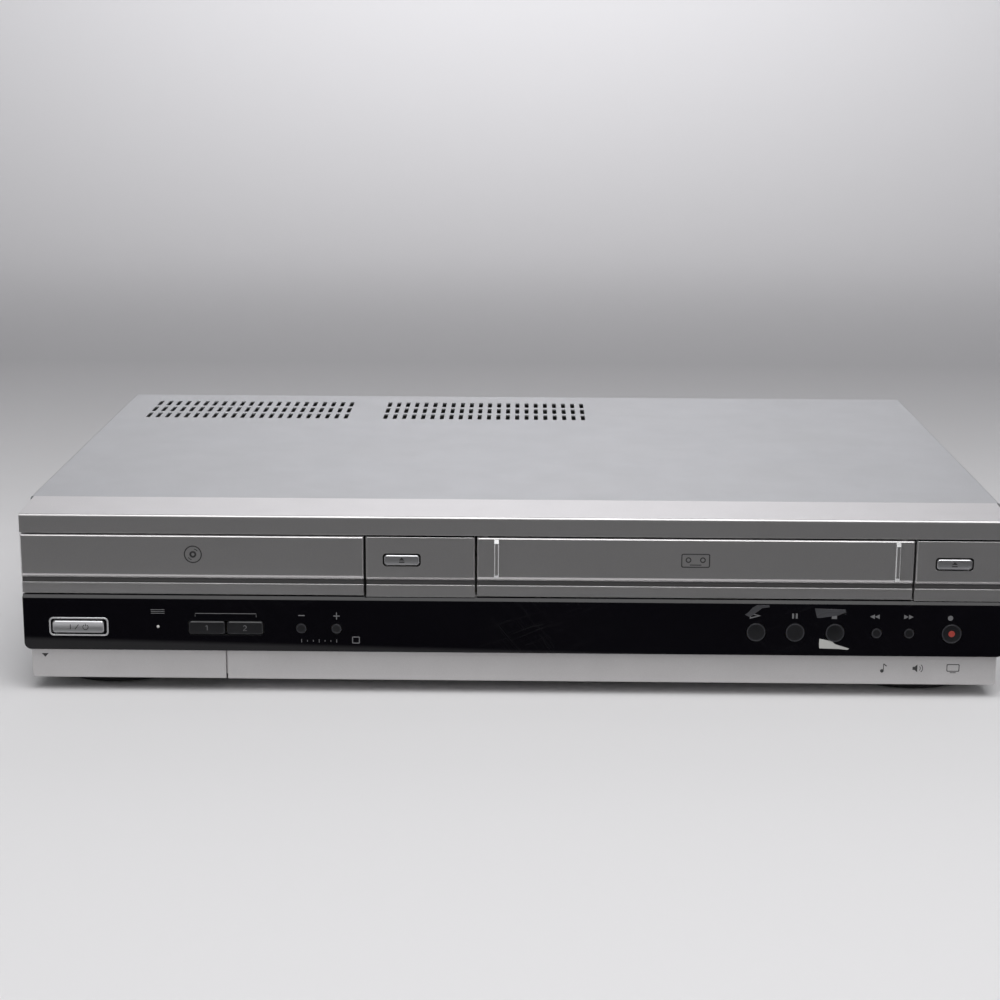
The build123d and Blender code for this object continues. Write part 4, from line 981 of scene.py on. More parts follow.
@dataclass
class ControlPanel(FrontWork):
    """Printed marks, ring and lamp of the black control window."""

    pen: float = 0.45
    symbol_rise: float = 7.4  # marks above the centres of their keys
    symbol_height: float = 2.3
    play_size: Point = (4.9, 2.8)
    play_hollow: Point = (3.1, 1.35)
    pause_bar: float = 0.85  # width of one bar
    pause_apart: float = 0.8  # of a bar from the symbol's middle
    wind_size: Point = (2.1, 2.0)
    wind_apart: float = 1.05
    record_radius: float = 1.15
    sign_width: float = 2.8  # of plus and minus
    sign_arm: float = 1.35  # one upright arm of the plus
    ticks: int = 7
    tick_drop: float = 5.6
    tick_width: float = 0.3
    long_tick: float = 1.5
    short_tick: float = 0.8
    bracket_pen: float = 0.3
    bracket_height: float = 1.4
    lamp_lines: int = 3
    lamp_line_rise: float = 6.0
    lamp_line_pitch: float = 0.8
    lamp_line_size: Point = (6.0, 0.28)
    square_place: Point = (-68.4, 24.6)
    ring_width: float = 25.9
    ring_height: float = 8.4
    ring_line: float = 0.75
    ring_corner: float = 1.9
    ring_bevel: float = 0.35
    lamp_place: Point = (-154.6, 30.0)
    lamp_radius: float = 0.65
    lamp_proud: float = 0.45

    def above(self, key: str, shift: float = 0.0, rise: float | None = None) -> Point:
        """Find the place of a mark over a key.

        Args:
            key: The key's node.
            shift: How far the mark stands to the right of the key's centre.
            rise: How far it stands above the centre; symbol_rise without one.

        Returns:
            The mark's centre.
        """
        centre = middle_of(key)
        return centre.x + shift, centre.z + (self.symbol_rise if rise is None else rise)

    def marks(self) -> None:
        """Make the plain symbols that are printed on the window."""
        mesh = bmesh.new()
        self.transport_marks(mesh)
        self.channel_marks(mesh)
        self.scale_marks(mesh)
        left, right = self.above("select_left_key", -5.0, 5.0), self.above("select_right_key", 5.0, 5.0)
        rise = self.bracket_height
        bracket = [left, (left[0], left[1] + rise), (right[0], right[1] + rise), right]
        self.stamp(mesh, stroke(bracket, self.bracket_pen))
        square = self.square_place
        self.stamp_ring(mesh, rounded_bar(square, 3.4, 3.2, 0.5), rounded_bar(square, 2.5, 2.3, 0.3))
        self.bench.piece("window_marks", mesh, Ink.GREY_PRINT.value, "case", "black_window")

    def transport_marks(self, mesh: bmesh.types.BMesh) -> None:
        """Add the marks of play, pause, stop, both winds and record.

        Args:
            mesh: Mesh to add to.
        """
        tall = self.symbol_height
        play = self.above("play_key", -0.5)
        hollow = arrow((play[0] - 0.35, play[1]), *self.play_hollow)
        self.stamp_ring(mesh, arrow(play, *self.play_size), hollow)
        pause = self.above("pause_key", -0.3)
        for side in (-self.pause_apart, self.pause_apart):
            self.stamp(mesh, bar((pause[0] + side, pause[1]), self.pause_bar, tall))
        self.stamp(mesh, bar(self.above("stop_key", -0.5), tall, tall))
        for key, direction, shift in (("rewind_key", -1, -1.0), ("forward_key", 1, -0.4)):
            centre = self.above(key, shift)
            for side in (-self.wind_apart, self.wind_apart):
                width, height = self.wind_size
                self.stamp(mesh, arrow((centre[0] + side, centre[1]), direction * width, height))
        self.stamp(mesh, circle(self.above("record_key", -0.8, 7.0), self.record_radius))

    def channel_marks(self, mesh: bmesh.types.BMesh) -> None:
        """Add the minus and the plus over the channel keys.

        Args:
            mesh: Mesh to add to.
        """
        minus = self.above("channel_down_key", 0.1, 5.8)
        plus = self.above("channel_up_key", 0.05, 5.7)
        self.stamp(mesh, bar(minus, self.sign_width, self.pen))
        self.stamp(mesh, bar(plus, self.sign_width, self.pen))
        for arm in (0.92, -0.92):
            self.stamp(mesh, bar((plus[0], plus[1] + arm), self.pen, self.sign_arm))

    def scale_marks(self, mesh: bmesh.types.BMesh) -> None:
        """Add the row of ticks under the channel keys and the lines over the lamp.

        Args:
            mesh: Mesh to add to.
        """
        low = middle_of("channel_down_key")
        high = middle_of("channel_up_key")
        last = self.ticks - 1
        for tick in range(self.ticks):
            along = low.x + (high.x - low.x) * tick / last
            height = self.long_tick if tick in (0, self.ticks // 2, last) else self.short_tick
            self.stamp(mesh, bar((along, low.z - self.tick_drop), self.tick_width, height))
        for row in range(self.lamp_lines):
            height = self.lamp_place[1] + self.lamp_line_rise + self.lamp_line_pitch * row
            self.stamp(mesh, bar((self.lamp_place[0], height), *self.lamp_line_size))

    def power_ring(self) -> None:
        """Make the pale raised ring round the power key."""
        mesh = bmesh.new()
        centre = middle_of("power_key")
        middle = (centre.x + 0.2, centre.z)
        place = front_placer(self.front)
        bevel, line = self.ring_bevel, 2 * self.ring_line
        loops = []
        for shrink, corner, depths in (
            (0.0, self.ring_corner, (0.05, -0.1)),
            (bevel, self.ring_corner - 0.15, (-0.28,)),
            (line - bevel, self.ring_corner - 0.55, (-0.28,)),
            (line, self.ring_corner - 0.7, (-0.1, 0.05)),
        ):
            outline = rounded_bar(middle, self.ring_width - shrink, self.ring_height - shrink, corner)
            for depth in depths:
                loops.append([mesh.verts.new(place(u, v, depth)) for u, v in outline])
        for this, other in zip(loops, loops[1:] + loops[:1]):
            for index in range(len(this)):
                after = (index + 1) % len(this)
                mesh.faces.new((this[index], this[after], other[after], other[index]))
        self.bench.piece("power_ring", mesh, Ink.RING_PAINT.value, "case", "silver_key", smooth=True)

    def lamp(self) -> None:
        """Make the small domed lens of the indicator lamp."""
        mesh = bmesh.new()
        steps = 6
        profile = [(self.lamp_radius, 0.1)]
        for step in range(steps):
            angle = math.pi / 2 * step / steps
            profile.append((self.lamp_radius * math.cos(angle), -self.lamp_proud * math.sin(angle)))
        self.bench.turned(mesh, profile, front_placer(self.front), self.lamp_place, 20)
        self.bench.piece("indicator_lens", mesh, Ink.LAMP_LENS.value, "case", "black_window", smooth=True)

    def build(self) -> None:
        """Make all pieces of the control window."""
        self.marks()
        self.power_ring()
        self.lamp()


@dataclass
class KeyMarks(FrontWork):
    """Symbols, rims and the red spot on the keys that move."""

    root: float = 0.1  # how deep a symbol goes into its dished key
    dish_radius: float = 12.0
    dish_depth: float = 0.25
    power_proud: float = 0.8
    eject_proud: float = 0.6
    pen: float = 0.32
    spot_radius: float = 1.4
    rim_width: float = 0.42
    round_keys: tuple[str, ...] = (
        "channel_down_key", "channel_up_key", "play_key", "pause_key", "stop_key", "rewind_key",
        "forward_key", "record_key",
    )

    def dished(self, key: str, proud: float) -> Placer:
        """Placer on the face of a key that is hollowed along its length.

        Args:
            key: The key's node.
            proud: How far its rim stands in front of the fascia.

        Returns:
            The placer, with depth counted from the hollow face.
        """
        height = middle_of(key).z
        deepest = self.front - proud + self.dish_depth

        def place(u: float, v: float, depth: float) -> Vector:
            """Find a place on the hollow face.

            Args:
                u: Its x.
                v: Its height.
                depth: How far it is behind the face.

            Returns:
                The place, in metres.
            """
            rise = self.dish_radius - math.sqrt(self.dish_radius**2 - (v - height) ** 2)
            return Vector((u * MM, (deepest - rise + depth) * MM, v * MM))

        return place

    def power(self) -> None:
        """Make the on and standby symbols of the power key."""
        mesh = bmesh.new()
        place = self.dished("power_key", self.power_proud)
        centre = middle_of("power_key")
        x, z = centre.x, centre.z
        on_line = [(x - 3.4, z - 1.1), (x - 3.4, z + 1.1)]
        slash = [(x - 1.4, z - 1.1), (x + 0.2, z + 1.1)]
        standby = (x + 3.2, z - 0.1)
        upright = [(standby[0], z + 0.3), (standby[0], z + 1.5)]
        for line in (on_line, slash, arc(standby, 1.15, 125, 415, 20), upright):
            self.bench.slab(mesh, stroke(line, self.pen), place, -self.ink, self.root)
        self.bench.piece("power_symbols", mesh, Ink.DARK_PRINT.value, "power_key", "silver_key")

    def eject(self, key: str) -> None:
        """Make the eject symbol of one key.

        Args:
            key: The key's node.
        """
        mesh = bmesh.new()
        place = self.dished(key, self.eject_proud)
        centre = middle_of(key)
        x, z = centre.x, centre.z
        triangle = [(x - 1.2, z - 0.1), (x + 1.2, z - 0.1), (x, z + 1.2)]
        for outline in (triangle, bar((x, z - 0.85), 2.4, 0.5)):
            self.bench.slab(mesh, outline, place, -self.ink, self.root)
        self.bench.piece(key.replace("key", "symbol"), mesh, Ink.DARK_PRINT.value, key, "silver_key")

    def number(self, key: str, lines: Sequence[Sequence[Point]]) -> None:
        """Make the plain number of one select key.

        Args:
            key: The key's node.
            lines: Its pen lines, about the key's centre.
        """
        mesh = bmesh.new()
        centre = middle_of(key)
        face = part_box(key)[0].y / MM
        for line in lines:
            moved = [(centre.x + along, centre.z + up) for along, up in line]
            self.stamp(mesh, stroke(moved, self.pen), front_placer(face))
        self.bench.piece(key.replace("key", "number"), mesh, Ink.GREY_PRINT.value, key, "black_key")

    def record(self) -> None:
        """Make the red spot of the record key."""
        mesh = bmesh.new()
        centre = middle_of("record_key")
        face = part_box("record_key")[0].y / MM
        dome = ((1.0, 0.1), (1.0, -0.08), (0.88, -0.14), (0.5, -0.17), (0.2, -0.18))
        profile = [(share * self.spot_radius, depth) for share, depth in dome]
        self.bench.turned(mesh, profile, front_placer(face), (centre.x, centre.z), 32)
        self.bench.piece("record_spot", mesh, Ink.RED_SPOT.value, "record_key", "black_key", smooth=True)

    def rim(self, key: str) -> None:
        """Make the thin pale rim round the face of one round key: a painted highlight where the edge of the
        face catches light.

        Args:
            key: The key's node.
        """
        mesh = bmesh.new()
        low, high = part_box(key)
        radius = (high.x - low.x) / 2 / MM
        centre = middle_of(key)
        middle = (centre.x, centre.z)
        outer, inner = circle(middle, radius, 40), circle(middle, radius - self.rim_width, 40)
        self.bench.band(mesh, outer, inner, front_placer(low.y / MM), -0.05, 0.35)
        self.bench.piece(key.replace("key", "rim"), mesh, Ink.KEY_RIM_HIGHLIGHT.value, key, "black_key")

    def build(self) -> None:
        """Make the marks of all keys."""
        self.power()
        for key in self.round_keys:
            self.rim(key)
        for key in ("disc_eject_key", "tape_eject_key"):
            self.eject(key)
        one = [[(-0.5, 0.7), (0.2, 1.1)], [(0.2, 1.1), (0.2, -1.1)]]
        two = [arc((0.0, 0.5), 0.65, 160, -30, 8) + [(-0.75, -1.1), (0.8, -1.1)]]
        self.number("select_left_key", one)
        self.number("select_right_key", two)
        self.record()


@dataclass
class FasciaPictures(FrontWork):
    """Plain pictograms on the doors, the flap and the lower trim."""

    disc_place: Point = (-138.5, 62.6)
    disc_rings: tuple[Point, ...] = ((3.9, 3.4), (1.5, 0.65))  # outer and inner radius
    gleam_radius: float = 2.45
    cassette_place: Point = (78.5, 61.5)
    hub_apart: float = 3.1  # of a hub from the cassette's middle
    trim_place: Point = (177.0, 13.4)
    trim_pitch: float = 15.0

    def disc(self) -> None:
        """Make the round disc picture on the tray's front."""
        mesh = bmesh.new()
        for outer, inner in self.disc_rings:
            self.stamp_ring(mesh, circle(self.disc_place, outer, 40), circle(self.disc_place, inner, 40))
        for start in (35, 215):
            self.stamp(mesh, stroke(arc(self.disc_place, self.gleam_radius, start, start + 40, 6), 0.35))
        self.bench.piece("disc_picture", mesh, Ink.DARK_PRINT.value, "tray", "silver_front")

    def cassette(self) -> None:
        """Make the cassette picture on the cassette door."""
        mesh = bmesh.new()
        x, z = self.cassette_place
        self.stamp_ring(mesh, rounded_bar((x, z), 12.4, 6.2, 0.8), rounded_bar((x, z), 11.5, 5.3, 0.5))
        for side in (-1, 1):
            hub = (x + side * self.hub_apart, z + 0.3)
            self.stamp_ring(mesh, circle(hub, 1.25, 24), circle(hub, 0.75, 24))
        self.stamp(mesh, bar((x, z - 1.9), 5.0, 0.4))
        self.bench.piece("cassette_picture", mesh, Ink.DARK_PRINT.value, "cassette_door", "silver_front")

    def flap(self) -> None:
        """Make the small arrow that shows which way the flap opens."""
        mesh = bmesh.new()
        low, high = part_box("input_flap")
        x, z = low.x / MM + 6.0, high.z / MM - 3.0
        self.stamp(mesh, [(x - 1.5, z + 0.8), (x, z - 0.9), (x + 1.5, z + 0.8)], front_placer(low.y / MM))
        self.bench.piece("flap_arrow", mesh, Ink.DARK_PRINT.value, "input_flap", "silver_front")

    def trim(self) -> None:
        """Make the three small pictures at the right end of the lower trim: note, loudspeaker, screen."""
        mesh = bmesh.new()
        place = front_placer(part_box("lower_trim")[0].y / MM)
        x, z = self.trim_place
        note = x - self.trim_pitch
        self.stamp(mesh, circle((note - 0.9, z - 1.3), 0.8, 18), place)
        self.stamp(mesh, bar((note - 0.25, z + 0.4), 0.3, 3.2), place)
        self.stamp(mesh, stroke([(note - 0.25, z + 1.9), (note + 1.1, z + 0.9)], 0.45), place)
        box, cone, mouth = -2.6, -1.7, -0.5
        speaker = [(box, -0.7), (cone, -0.7), (mouth, -1.8), (mouth, 1.8), (cone, 0.7), (box, 0.7)]
        self.stamp(mesh, [(x + along, z + up) for along, up in speaker], place)
        for radius in (1.2, 2.2):
            self.stamp(mesh, stroke(arc((x - 0.4, z), radius, -48, 48, 8), 0.3), place)
        screen = (x + self.trim_pitch, z + 0.35)
        self.stamp_ring(mesh, rounded_bar(screen, 5.6, 3.4, 0.5), rounded_bar(screen, 4.9, 2.7, 0.3), place)
        self.stamp(mesh, bar((screen[0], z - 1.85), 2.6, 0.35), place)
        self.bench.piece("trim_pictures", mesh, Ink.DARK_PRINT.value, "case", "silver_front")

    def build(self) -> None:
        """Make all pictograms."""
        self.disc()
        self.cassette()
        self.flap()
        self.trim()


@dataclass
class DoorTrim(FrontWork):
    """Painted highlights on the rib edges, painted shade in the creases, painted shadow strips in the gaps,
    and the fascia's end caps.
    """

    rib_proud: float = 0.8
    rib_width: float = 2.0
    rib_edge: float = 0.4
    rib_foot: tuple[float, float] = (52.8, 54.4)  # heights where the lower slope starts and ends
    rib_head: tuple[float, float] = (68.5, 70.1)
    ribs: tuple[float, float] = (-7.3, 165.5)
    lift: float = 0.03
    gap_spans: tuple[Point, ...] = ((-63.7, -16.8), (173.5, 213.2))  # ends of the fixed panels
    gap_line: float = 71.35
    gap_width: float = 0.85
    gap_depths: Point = (0.45, 1.1)
    side_gap: float = -64.2
    side_gap_width: float = 0.7
    side_gap_foot: float = 44.7
    side_gap_height: float = 26.2
    side_gap_depths: Point = (0.6, 4.05)
    eject_keys: tuple[str, str] = ("disc_eject_key", "tape_eject_key")
    eject_clearance: float = 0.7
    eject_line: float = 0.35
    # the crease strips are painted shade, set in the groove under each crease
    crease_heights: tuple[float, float] = (49.45, 51.48)
    crease_depths: Point = (1.3, 2.25)
    hollow_ends: tuple[tuple[float, Point, float, float], ...] = (  # end, middle, width and height
        (213.3, (-143.0, 76.0), 2.0, 4.3), (210.6, (-140.2, 7.6), 4.2, 1.1),
    )
    creased: tuple[tuple[str, str, float, float], ...] = (  # piece, body, left and right end
        ("tray_crease_painted_shade", "tray", -213.2, -64.9), ("panel_crease_painted_shade", "case", -63.7, -16.8),
        ("door_crease_painted_shade", "cassette_door", -15.6, 172.3), ("end_crease_painted_shade", "case", 173.5, 213.2),
    )

    def plate(self, mesh: bmesh.types.BMesh, corners: Sequence[tuple[float, float, float]]) -> None:
        """Add a thin closed plate over four corners.

        Args:
            mesh: Mesh to add to.
            corners: The four corners in millimetres, anticlockwise seen from outside.
        """
        points = [Vector(corner) * MM for corner in corners]
        normal = (points[1] - points[0]).cross(points[2] - points[1]).normalized() * self.lift * MM
        face = [mesh.verts.new(point + normal) for point in points]
        back = [mesh.verts.new(point - normal) for point in points]
        mesh.faces.new(face)
        mesh.faces.new(back[::-1])
        for index in range(4):
            after = (index + 1) % 4
            mesh.faces.new((face[after], face[index], back[index], back[after]))

    def rib_painted_highlights(self) -> None:
        """Make the bright plates on the ends and side edges of both ribs: painted highlight where their
        chamfers catch light.
        """
        mesh = bmesh.new()
        crest = self.front - self.rib_proud + self.lift
        half, edge = self.rib_width / 2, self.rib_edge
        for x in self.ribs:
            left, right = x - half, x + half
            foot, head = self.rib_foot, self.rib_head
            for (low, low_y), (high, high_y) in (
                ((head[0], crest), (head[1], self.front)),
                ((foot[0], self.front), (foot[1], crest)),
            ):
                self.plate(mesh, [(left, low_y, low), (right, low_y, low), (right, high_y, high),
                                  (left, high_y, high)])
            for side in (-1, 1):
                outer, inner = x + side * half, x + side * (half - edge)
                corners = [(outer, crest + edge, foot[1]), (inner, crest, foot[1]), (inner, crest, head[0]),
                           (outer, crest + edge, head[0])]
                self.plate(mesh, corners if side < 0 else corners[::-1])
        self.bench.piece("rib_painted_highlights", mesh, Ink.PAINTED_HIGHLIGHT.value, "cassette_door", "silver_front")

    def painted_shadows(self) -> None:
        """Make the black strips in the gaps round the fixed panels and the thin black bands round the eject
        keys: painted shadow for the shade in these gaps.
        """
        mesh = bmesh.new()
        place = front_placer(self.front)
        for left, right in self.gap_spans:
            width = right - left
            outline = rounded_bar((left + width / 2, self.gap_line), width, self.gap_width, 0.1, 2)
            self.bench.slab(mesh, outline, place, *self.gap_depths)
        height = self.side_gap_height
        middle = (self.side_gap, self.side_gap_foot + height / 2)
        outline = rounded_bar(middle, self.side_gap_width, height, 0.1, 2)
        self.bench.slab(mesh, outline, place, *self.side_gap_depths)
        for key in self.eject_keys:
            low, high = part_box(key)
            centre = middle_of(key)
            middle = (centre.x, centre.z)
            width = (high.x - low.x) / MM + self.eject_clearance
            height = (high.z - low.z) / MM + self.eject_clearance
            line = 2 * self.eject_line
            self.bench.band(mesh, rounded_bar(middle, width + line, height + line, 1.5),
                            rounded_bar(middle, width, height, 1.15), place, -self.lift, 0.3)
        self.bench.piece("gap_painted_shadows", mesh, Ink.PAINTED_SHADOW_BLACK.value, "case", "black_plastic")

    def crease_painted_shades(self) -> None:
        """Make the dark strips at the bottom of the crease of each door and fixed panel: painted shade for
        the shadow under the crease.
        """
        for name, body, left, right in self.creased:
            mesh = bmesh.new()
            low, high = self.crease_heights
            outline = bar(((left + right) / 2, (low + high) / 2), right - left, high - low)
            self.bench.slab(mesh, outline, front_placer(self.front), *self.crease_depths)
            self.bench.piece(name, mesh, Ink.CREASE_PAINTED_SHADE.value, body, "silver_front")

    def end_caps(self) -> None:
        """Close the hollow ends of the fascia's band and skirt."""
        mesh = bmesh.new()
        for side in (-1, 1):
            for end, centre, width, height in self.hollow_ends:
                outline = rounded_bar(centre, width, height, 0.2, 3)
                self.bench.slab(mesh, outline, side_placer(side, end), 0.02, 1.5)
        finish = SLOT_FINISHES["silver_front"]
        self.bench.piece("fascia_end_caps", mesh, finish, "case", finish.name)

    def build(self) -> None:
        """Make the trim of the doors."""
        self.end_caps()
        self.crease_painted_shades()
        self.rib_painted_highlights()
        self.painted_shadows()


@dataclass
class LabelScraps(FrontWork):
    """Scraps of torn film and paper that a peeled label left on the control window."""

    film: float = 0.05

    def build(self) -> None:
        """Make the four scraps."""
        place = front_placer(self.front)
        scraps = (
            ("film_scrap_left", Ink.TORN_FILM,
             [(100.4, 37.6), (101.9, 38.6), (103.6, 40.7), (105.6, 41.9), (110.8, 42.0), (111.1, 41.0),
              (107.9, 40.6), (105.9, 39.0), (103.9, 37.4), (102.6, 36.6), (101.6, 36.9)]),
            ("film_scrap_right", Ink.TORN_FILM,
             [(130.6, 40.6), (131.6, 36.6), (132.6, 36.3), (144.2, 38.0), (144.0, 40.2), (140.0, 40.4)]),
            ("paper_scrap_upper", Ink.TORN_PAPER,
             [(140.6, 37.5), (143.9, 38.0), (144.2, 38.9), (142.6, 38.3)]),
            ("paper_scrap_lower", Ink.TORN_PAPER,
             [(133.0, 24.3), (133.2, 22.6), (141.6, 22.4), (145.4, 22.0), (146.2, 22.6), (142.4, 23.8),
              (139.9, 24.6), (138.6, 25.9), (133.1, 27.0)]),
        )
        for name, finish, outline in scraps:
            mesh = bmesh.new()
            self.bench.slab(mesh, outline, place, -self.film, 0.02)
            self.bench.piece(name, mesh, finish.value, "case", "black_window")


@dataclass
class SocketFittings:
    """Plated sleeves and coloured inserts of the front and rear sockets, and the inlet's pins."""

    bench: Workbench
    sleeve_radius: float = 4.1
    insert_radius: float = 3.35
    bore_radius: float = 1.65
    row_heights: tuple[float, float] = (26.0, 44.0)
    row_inserts: tuple[Ink, ...] = (Ink.YELLOW_INSERT, Ink.WHITE_INSERT, Ink.RED_INSERT, Ink.YELLOW_INSERT)
    first_jack: float = -140.0
    jack_pitch: float = 18.0
    front_inserts: tuple[Ink, ...] = (Ink.YELLOW_INSERT, Ink.WHITE_INSERT, Ink.RED_INSERT)
    front_pitch: float = 22.0
    front_height: float = 13.05
    aerials: tuple[float, float] = (-58.0, -38.0)
    aerial_height: float = 34.0
    aerial_radius: float = 4.7
    aerial_bore: float = 1.0
    aerial_turns: int = 9
    thread_start: float = 0.3
    thread_pitch: float = 0.85
    inlet_place: Point = (-186.0, 34.0)
    pin_apart: float = 4.3  # of a pin from the inlet's middle
    pin_profile: tuple[Point, ...] = ((0.7, 1.2), (1.1, 1.5), (1.25, 2.0), (1.25, 9.9))

    def mouths(self, side: str, place: Placer, sockets: Sequence[tuple[Point, Ink]]) -> None:
        """Make the ends of a group of sockets, each a plated rim with a coloured insert.

        Args:
            side: Name of the side that they are on.
            place: Placer of the sockets' ends.
            sockets: Place and insert of each.
        """
        inks = (Ink.PLATED, Ink.YELLOW_INSERT, Ink.WHITE_INSERT, Ink.RED_INSERT)
        radii = (self.sleeve_radius, self.insert_radius, self.bore_radius)
        meshes = {ink: bmesh.new() for ink in inks}
        for middle, insert in sockets:
            sleeve, seat, bore = (circle(middle, radius, 32) for radius in radii)
            self.bench.band(meshes[Ink.PLATED], sleeve, seat, place, -0.1, 0.15)
            self.bench.band(meshes[insert], seat, bore, place, -0.06, 0.15)
        for ink, mesh in meshes.items():
            self.bench.piece(f"{side}_{ink.value.name}", mesh, ink.value, "case", "black_plastic")

    def rear(self) -> None:
        """Make the sleeves and inserts of the eight rear sockets."""
        sockets = [
            ((self.first_jack + self.jack_pitch * column, height), insert)
            for height in self.row_heights
            for column, insert in enumerate(self.row_inserts)
        ]
        self.mouths("rear", rear_placer(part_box("av_sockets")[1].y / MM), sockets)

    def front(self) -> None:
        """Make the sleeves and inserts of the three sockets behind the flap."""
        low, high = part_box("input_sockets")
        middle = (low.x + high.x) / 2 / MM
        sockets = [
            ((middle + self.front_pitch * column, self.front_height), insert)
            for column, insert in enumerate(self.front_inserts, start=-1)
        ]
        self.mouths("front", front_placer(low.y / MM), sockets)

    def threads(self) -> None:
        """Make the screw threads of the two aerial sockets."""
        mesh = bmesh.new()
        place = rear_placer(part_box("tuner_block")[1].y / MM)
        start, pitch = self.thread_start, self.thread_pitch
        bore, radius = self.aerial_bore, self.aerial_radius
        end = start + pitch * self.aerial_turns
        profile = [(bore, 0.02), (radius - 0.4, 0.0)]
        for turn in range(self.aerial_turns):
            root = start + pitch * turn
            profile += [(radius - 0.25, root), (radius + 0.03, root + 0.4 * pitch)]
        profile += [(radius - 0.3, end), (bore, end)]
        for x in self.aerials:
            self.ring_lathe(mesh, profile, place, (x, self.aerial_height))
        self.bench.piece("aerial_threads", mesh, Ink.PLATED.value, "case", "tinned_can", smooth=True)

    @staticmethod
    def ring_lathe(
        mesh: bmesh.types.BMesh, profile: Sequence[Point], place: Placer, middle: Point, steps: int = 36
    ) -> None:
        """Turn a closed profile that doesn't reach the axis.

        Args:
            mesh: Mesh to add to.
            profile: Radius and depth of each ring; the last joins the first.
            place: Turns the two flat coordinates and a depth into a place.
            middle: Flat place of the axis.
            steps: Steps round the axis.
        """
        rings = [[mesh.verts.new(place(u, v, depth)) for u, v in circle(middle, radius, steps)]
                 for radius, depth in profile]
        for this, other in zip(rings, rings[1:] + rings[:1]):
            for index in range(steps):
                after = (index + 1) % steps
                mesh.faces.new((this[after], this[index], other[index], other[after]))

    def inlet_pins(self) -> None:
        """Make the two plated pins of the mains inlet."""
        mesh = bmesh.new()
        place = rear_placer(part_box("mains_inlet")[1].y / MM)
        x, z = self.inlet_place
        for side in (-self.pin_apart, self.pin_apart):
            self.bench.turned(mesh, self.pin_profile, place, (x + side, z), 20)
        self.bench.piece("inlet_pins", mesh, Ink.PLATED.value, "case", "bright_shaft", smooth=True)

    def build(self) -> None:
        """Make all socket fittings."""
        self.rear()
        self.front()
        self.threads()
        self.inlet_pins()


@dataclass
class RearPanel:
    """Screws, frames and the blank plate on the back."""

    bench: Workbench
    cover_screws: tuple[float, ...] = (-195.0, -65.0, 65.0, 195.0)
    panel_screws: tuple[float, ...] = (-150.0, 0.0, 150.0)
    cover_screw_height: float = 76.0
    panel_screw_height: float = 11.0
    head_radius: float = 3.0
    head_height: float = 1.8
    cross_reach: float = 1.7
    cross_width: float = 0.7
    shaft_radius: float = 1.45
    shaft_length: float = 3.0
    ink: float = 0.03
    frame_line: float = 0.4
    socket_groups: tuple[tuple[Point, float, float], ...] = (  # middle, width and height
        ((-113.0, 35.0), 78.0, 37.0), ((-48.0, 34.0), 38.0, 18.0),
    )
    arrow_height: float = 46.0
    arrow_places: tuple[tuple[float, int], ...] = ((-62.5, 1), (-33.5, -1))  # x and direction
    plate_place: Point = (-8.0, 58.0)
    plate_size: Point = (34.0, 12.0)

    def screw(self, mesh: bmesh.types.BMesh, place: Placer, middle: Point) -> None:
        """Add one domed screw with its shaft, and four quarter pads that leave a cross between them.

        Args:
            mesh: Mesh to add to.
            place: Placer with depth 0 at the surface under the head.
            middle: The screw's place.
        """
        dome = [(self.head_radius, 0.0), (self.head_radius, -0.7), (self.head_radius - 0.4, -1.3),
                (self.head_radius - 1.0, -1.55)]
        shaft = [(self.shaft_radius, self.shaft_length), (self.shaft_radius, 0.02)]
        self.bench.turned(mesh, shaft + dome, place, middle, 28)
        reach, half = self.cross_reach, self.cross_width / 2
        for along in (-1, 1):
            for up in (-1, 1):
                corner = [(half, half), (reach, half), (reach * 0.86, reach * 0.5),
                          (reach * 0.5, reach * 0.86), (half, reach)]
                outline = [(middle[0] + along * u, middle[1] + up * v) for u, v in corner]
                if along * up < 0:
                    outline.reverse()
                self.bench.slab(mesh, outline, place, -self.head_height, -1.5)

    def screws(self) -> None:
        """Make all seven screws in place of the plain ones."""
        mesh = bmesh.new()
        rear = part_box("top_cover")[1].y / MM
        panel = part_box("rear_panel")[1].y / MM
        for x in self.cover_screws:
            self.screw(mesh, rear_placer(rear), (x, self.cover_screw_height))
        for x in self.panel_screws:
            self.screw(mesh, rear_placer(panel), (x, self.panel_screw_height))
        finish = SLOT_FINISHES["black_plastic"]
        self.bench.piece(
            "rear_screws", mesh, finish, "case", finish.name, smooth=True, replaces=("case_screws",)
        )

    def frames(self) -> None:
        """Make the printed frames that group the sockets, and the arrows in and out."""
        mesh = bmesh.new()
        place = rear_placer(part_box("rear_panel")[1].y / MM)
        line = 2 * self.frame_line
        for middle, width, height in self.socket_groups:
            outer = rounded_bar(middle, width, height, 2.0)
            inner = rounded_bar(middle, width - line, height - line, 1.6)
            self.bench.band(mesh, outer, inner, place, -self.ink, self.ink)
        for x, direction in self.arrow_places:
            outline = arrow((x, self.arrow_height), 3.0 * direction, 2.4)
            self.bench.slab(mesh, outline, place, -self.ink, self.ink)
        self.bench.piece("rear_frames", mesh, Ink.DARK_PRINT.value, "case", "bare_steel")

    def plate(self) -> None:
        """Make the blank plate where a type plate would be."""
        mesh = bmesh.new()
        place = rear_placer(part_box("rear_panel")[1].y / MM)
        self.bench.slab(mesh, rounded_bar(self.plate_place, *self.plate_size, 1.2), place, -0.12, 0.03)
        self.bench.piece("blank_plate", mesh, Ink.BLANK_PLATE.value, "case", "bare_steel")

    def build(self) -> None:
        """Make everything on the back."""
        self.screws()
        self.frames()
        self.plate()


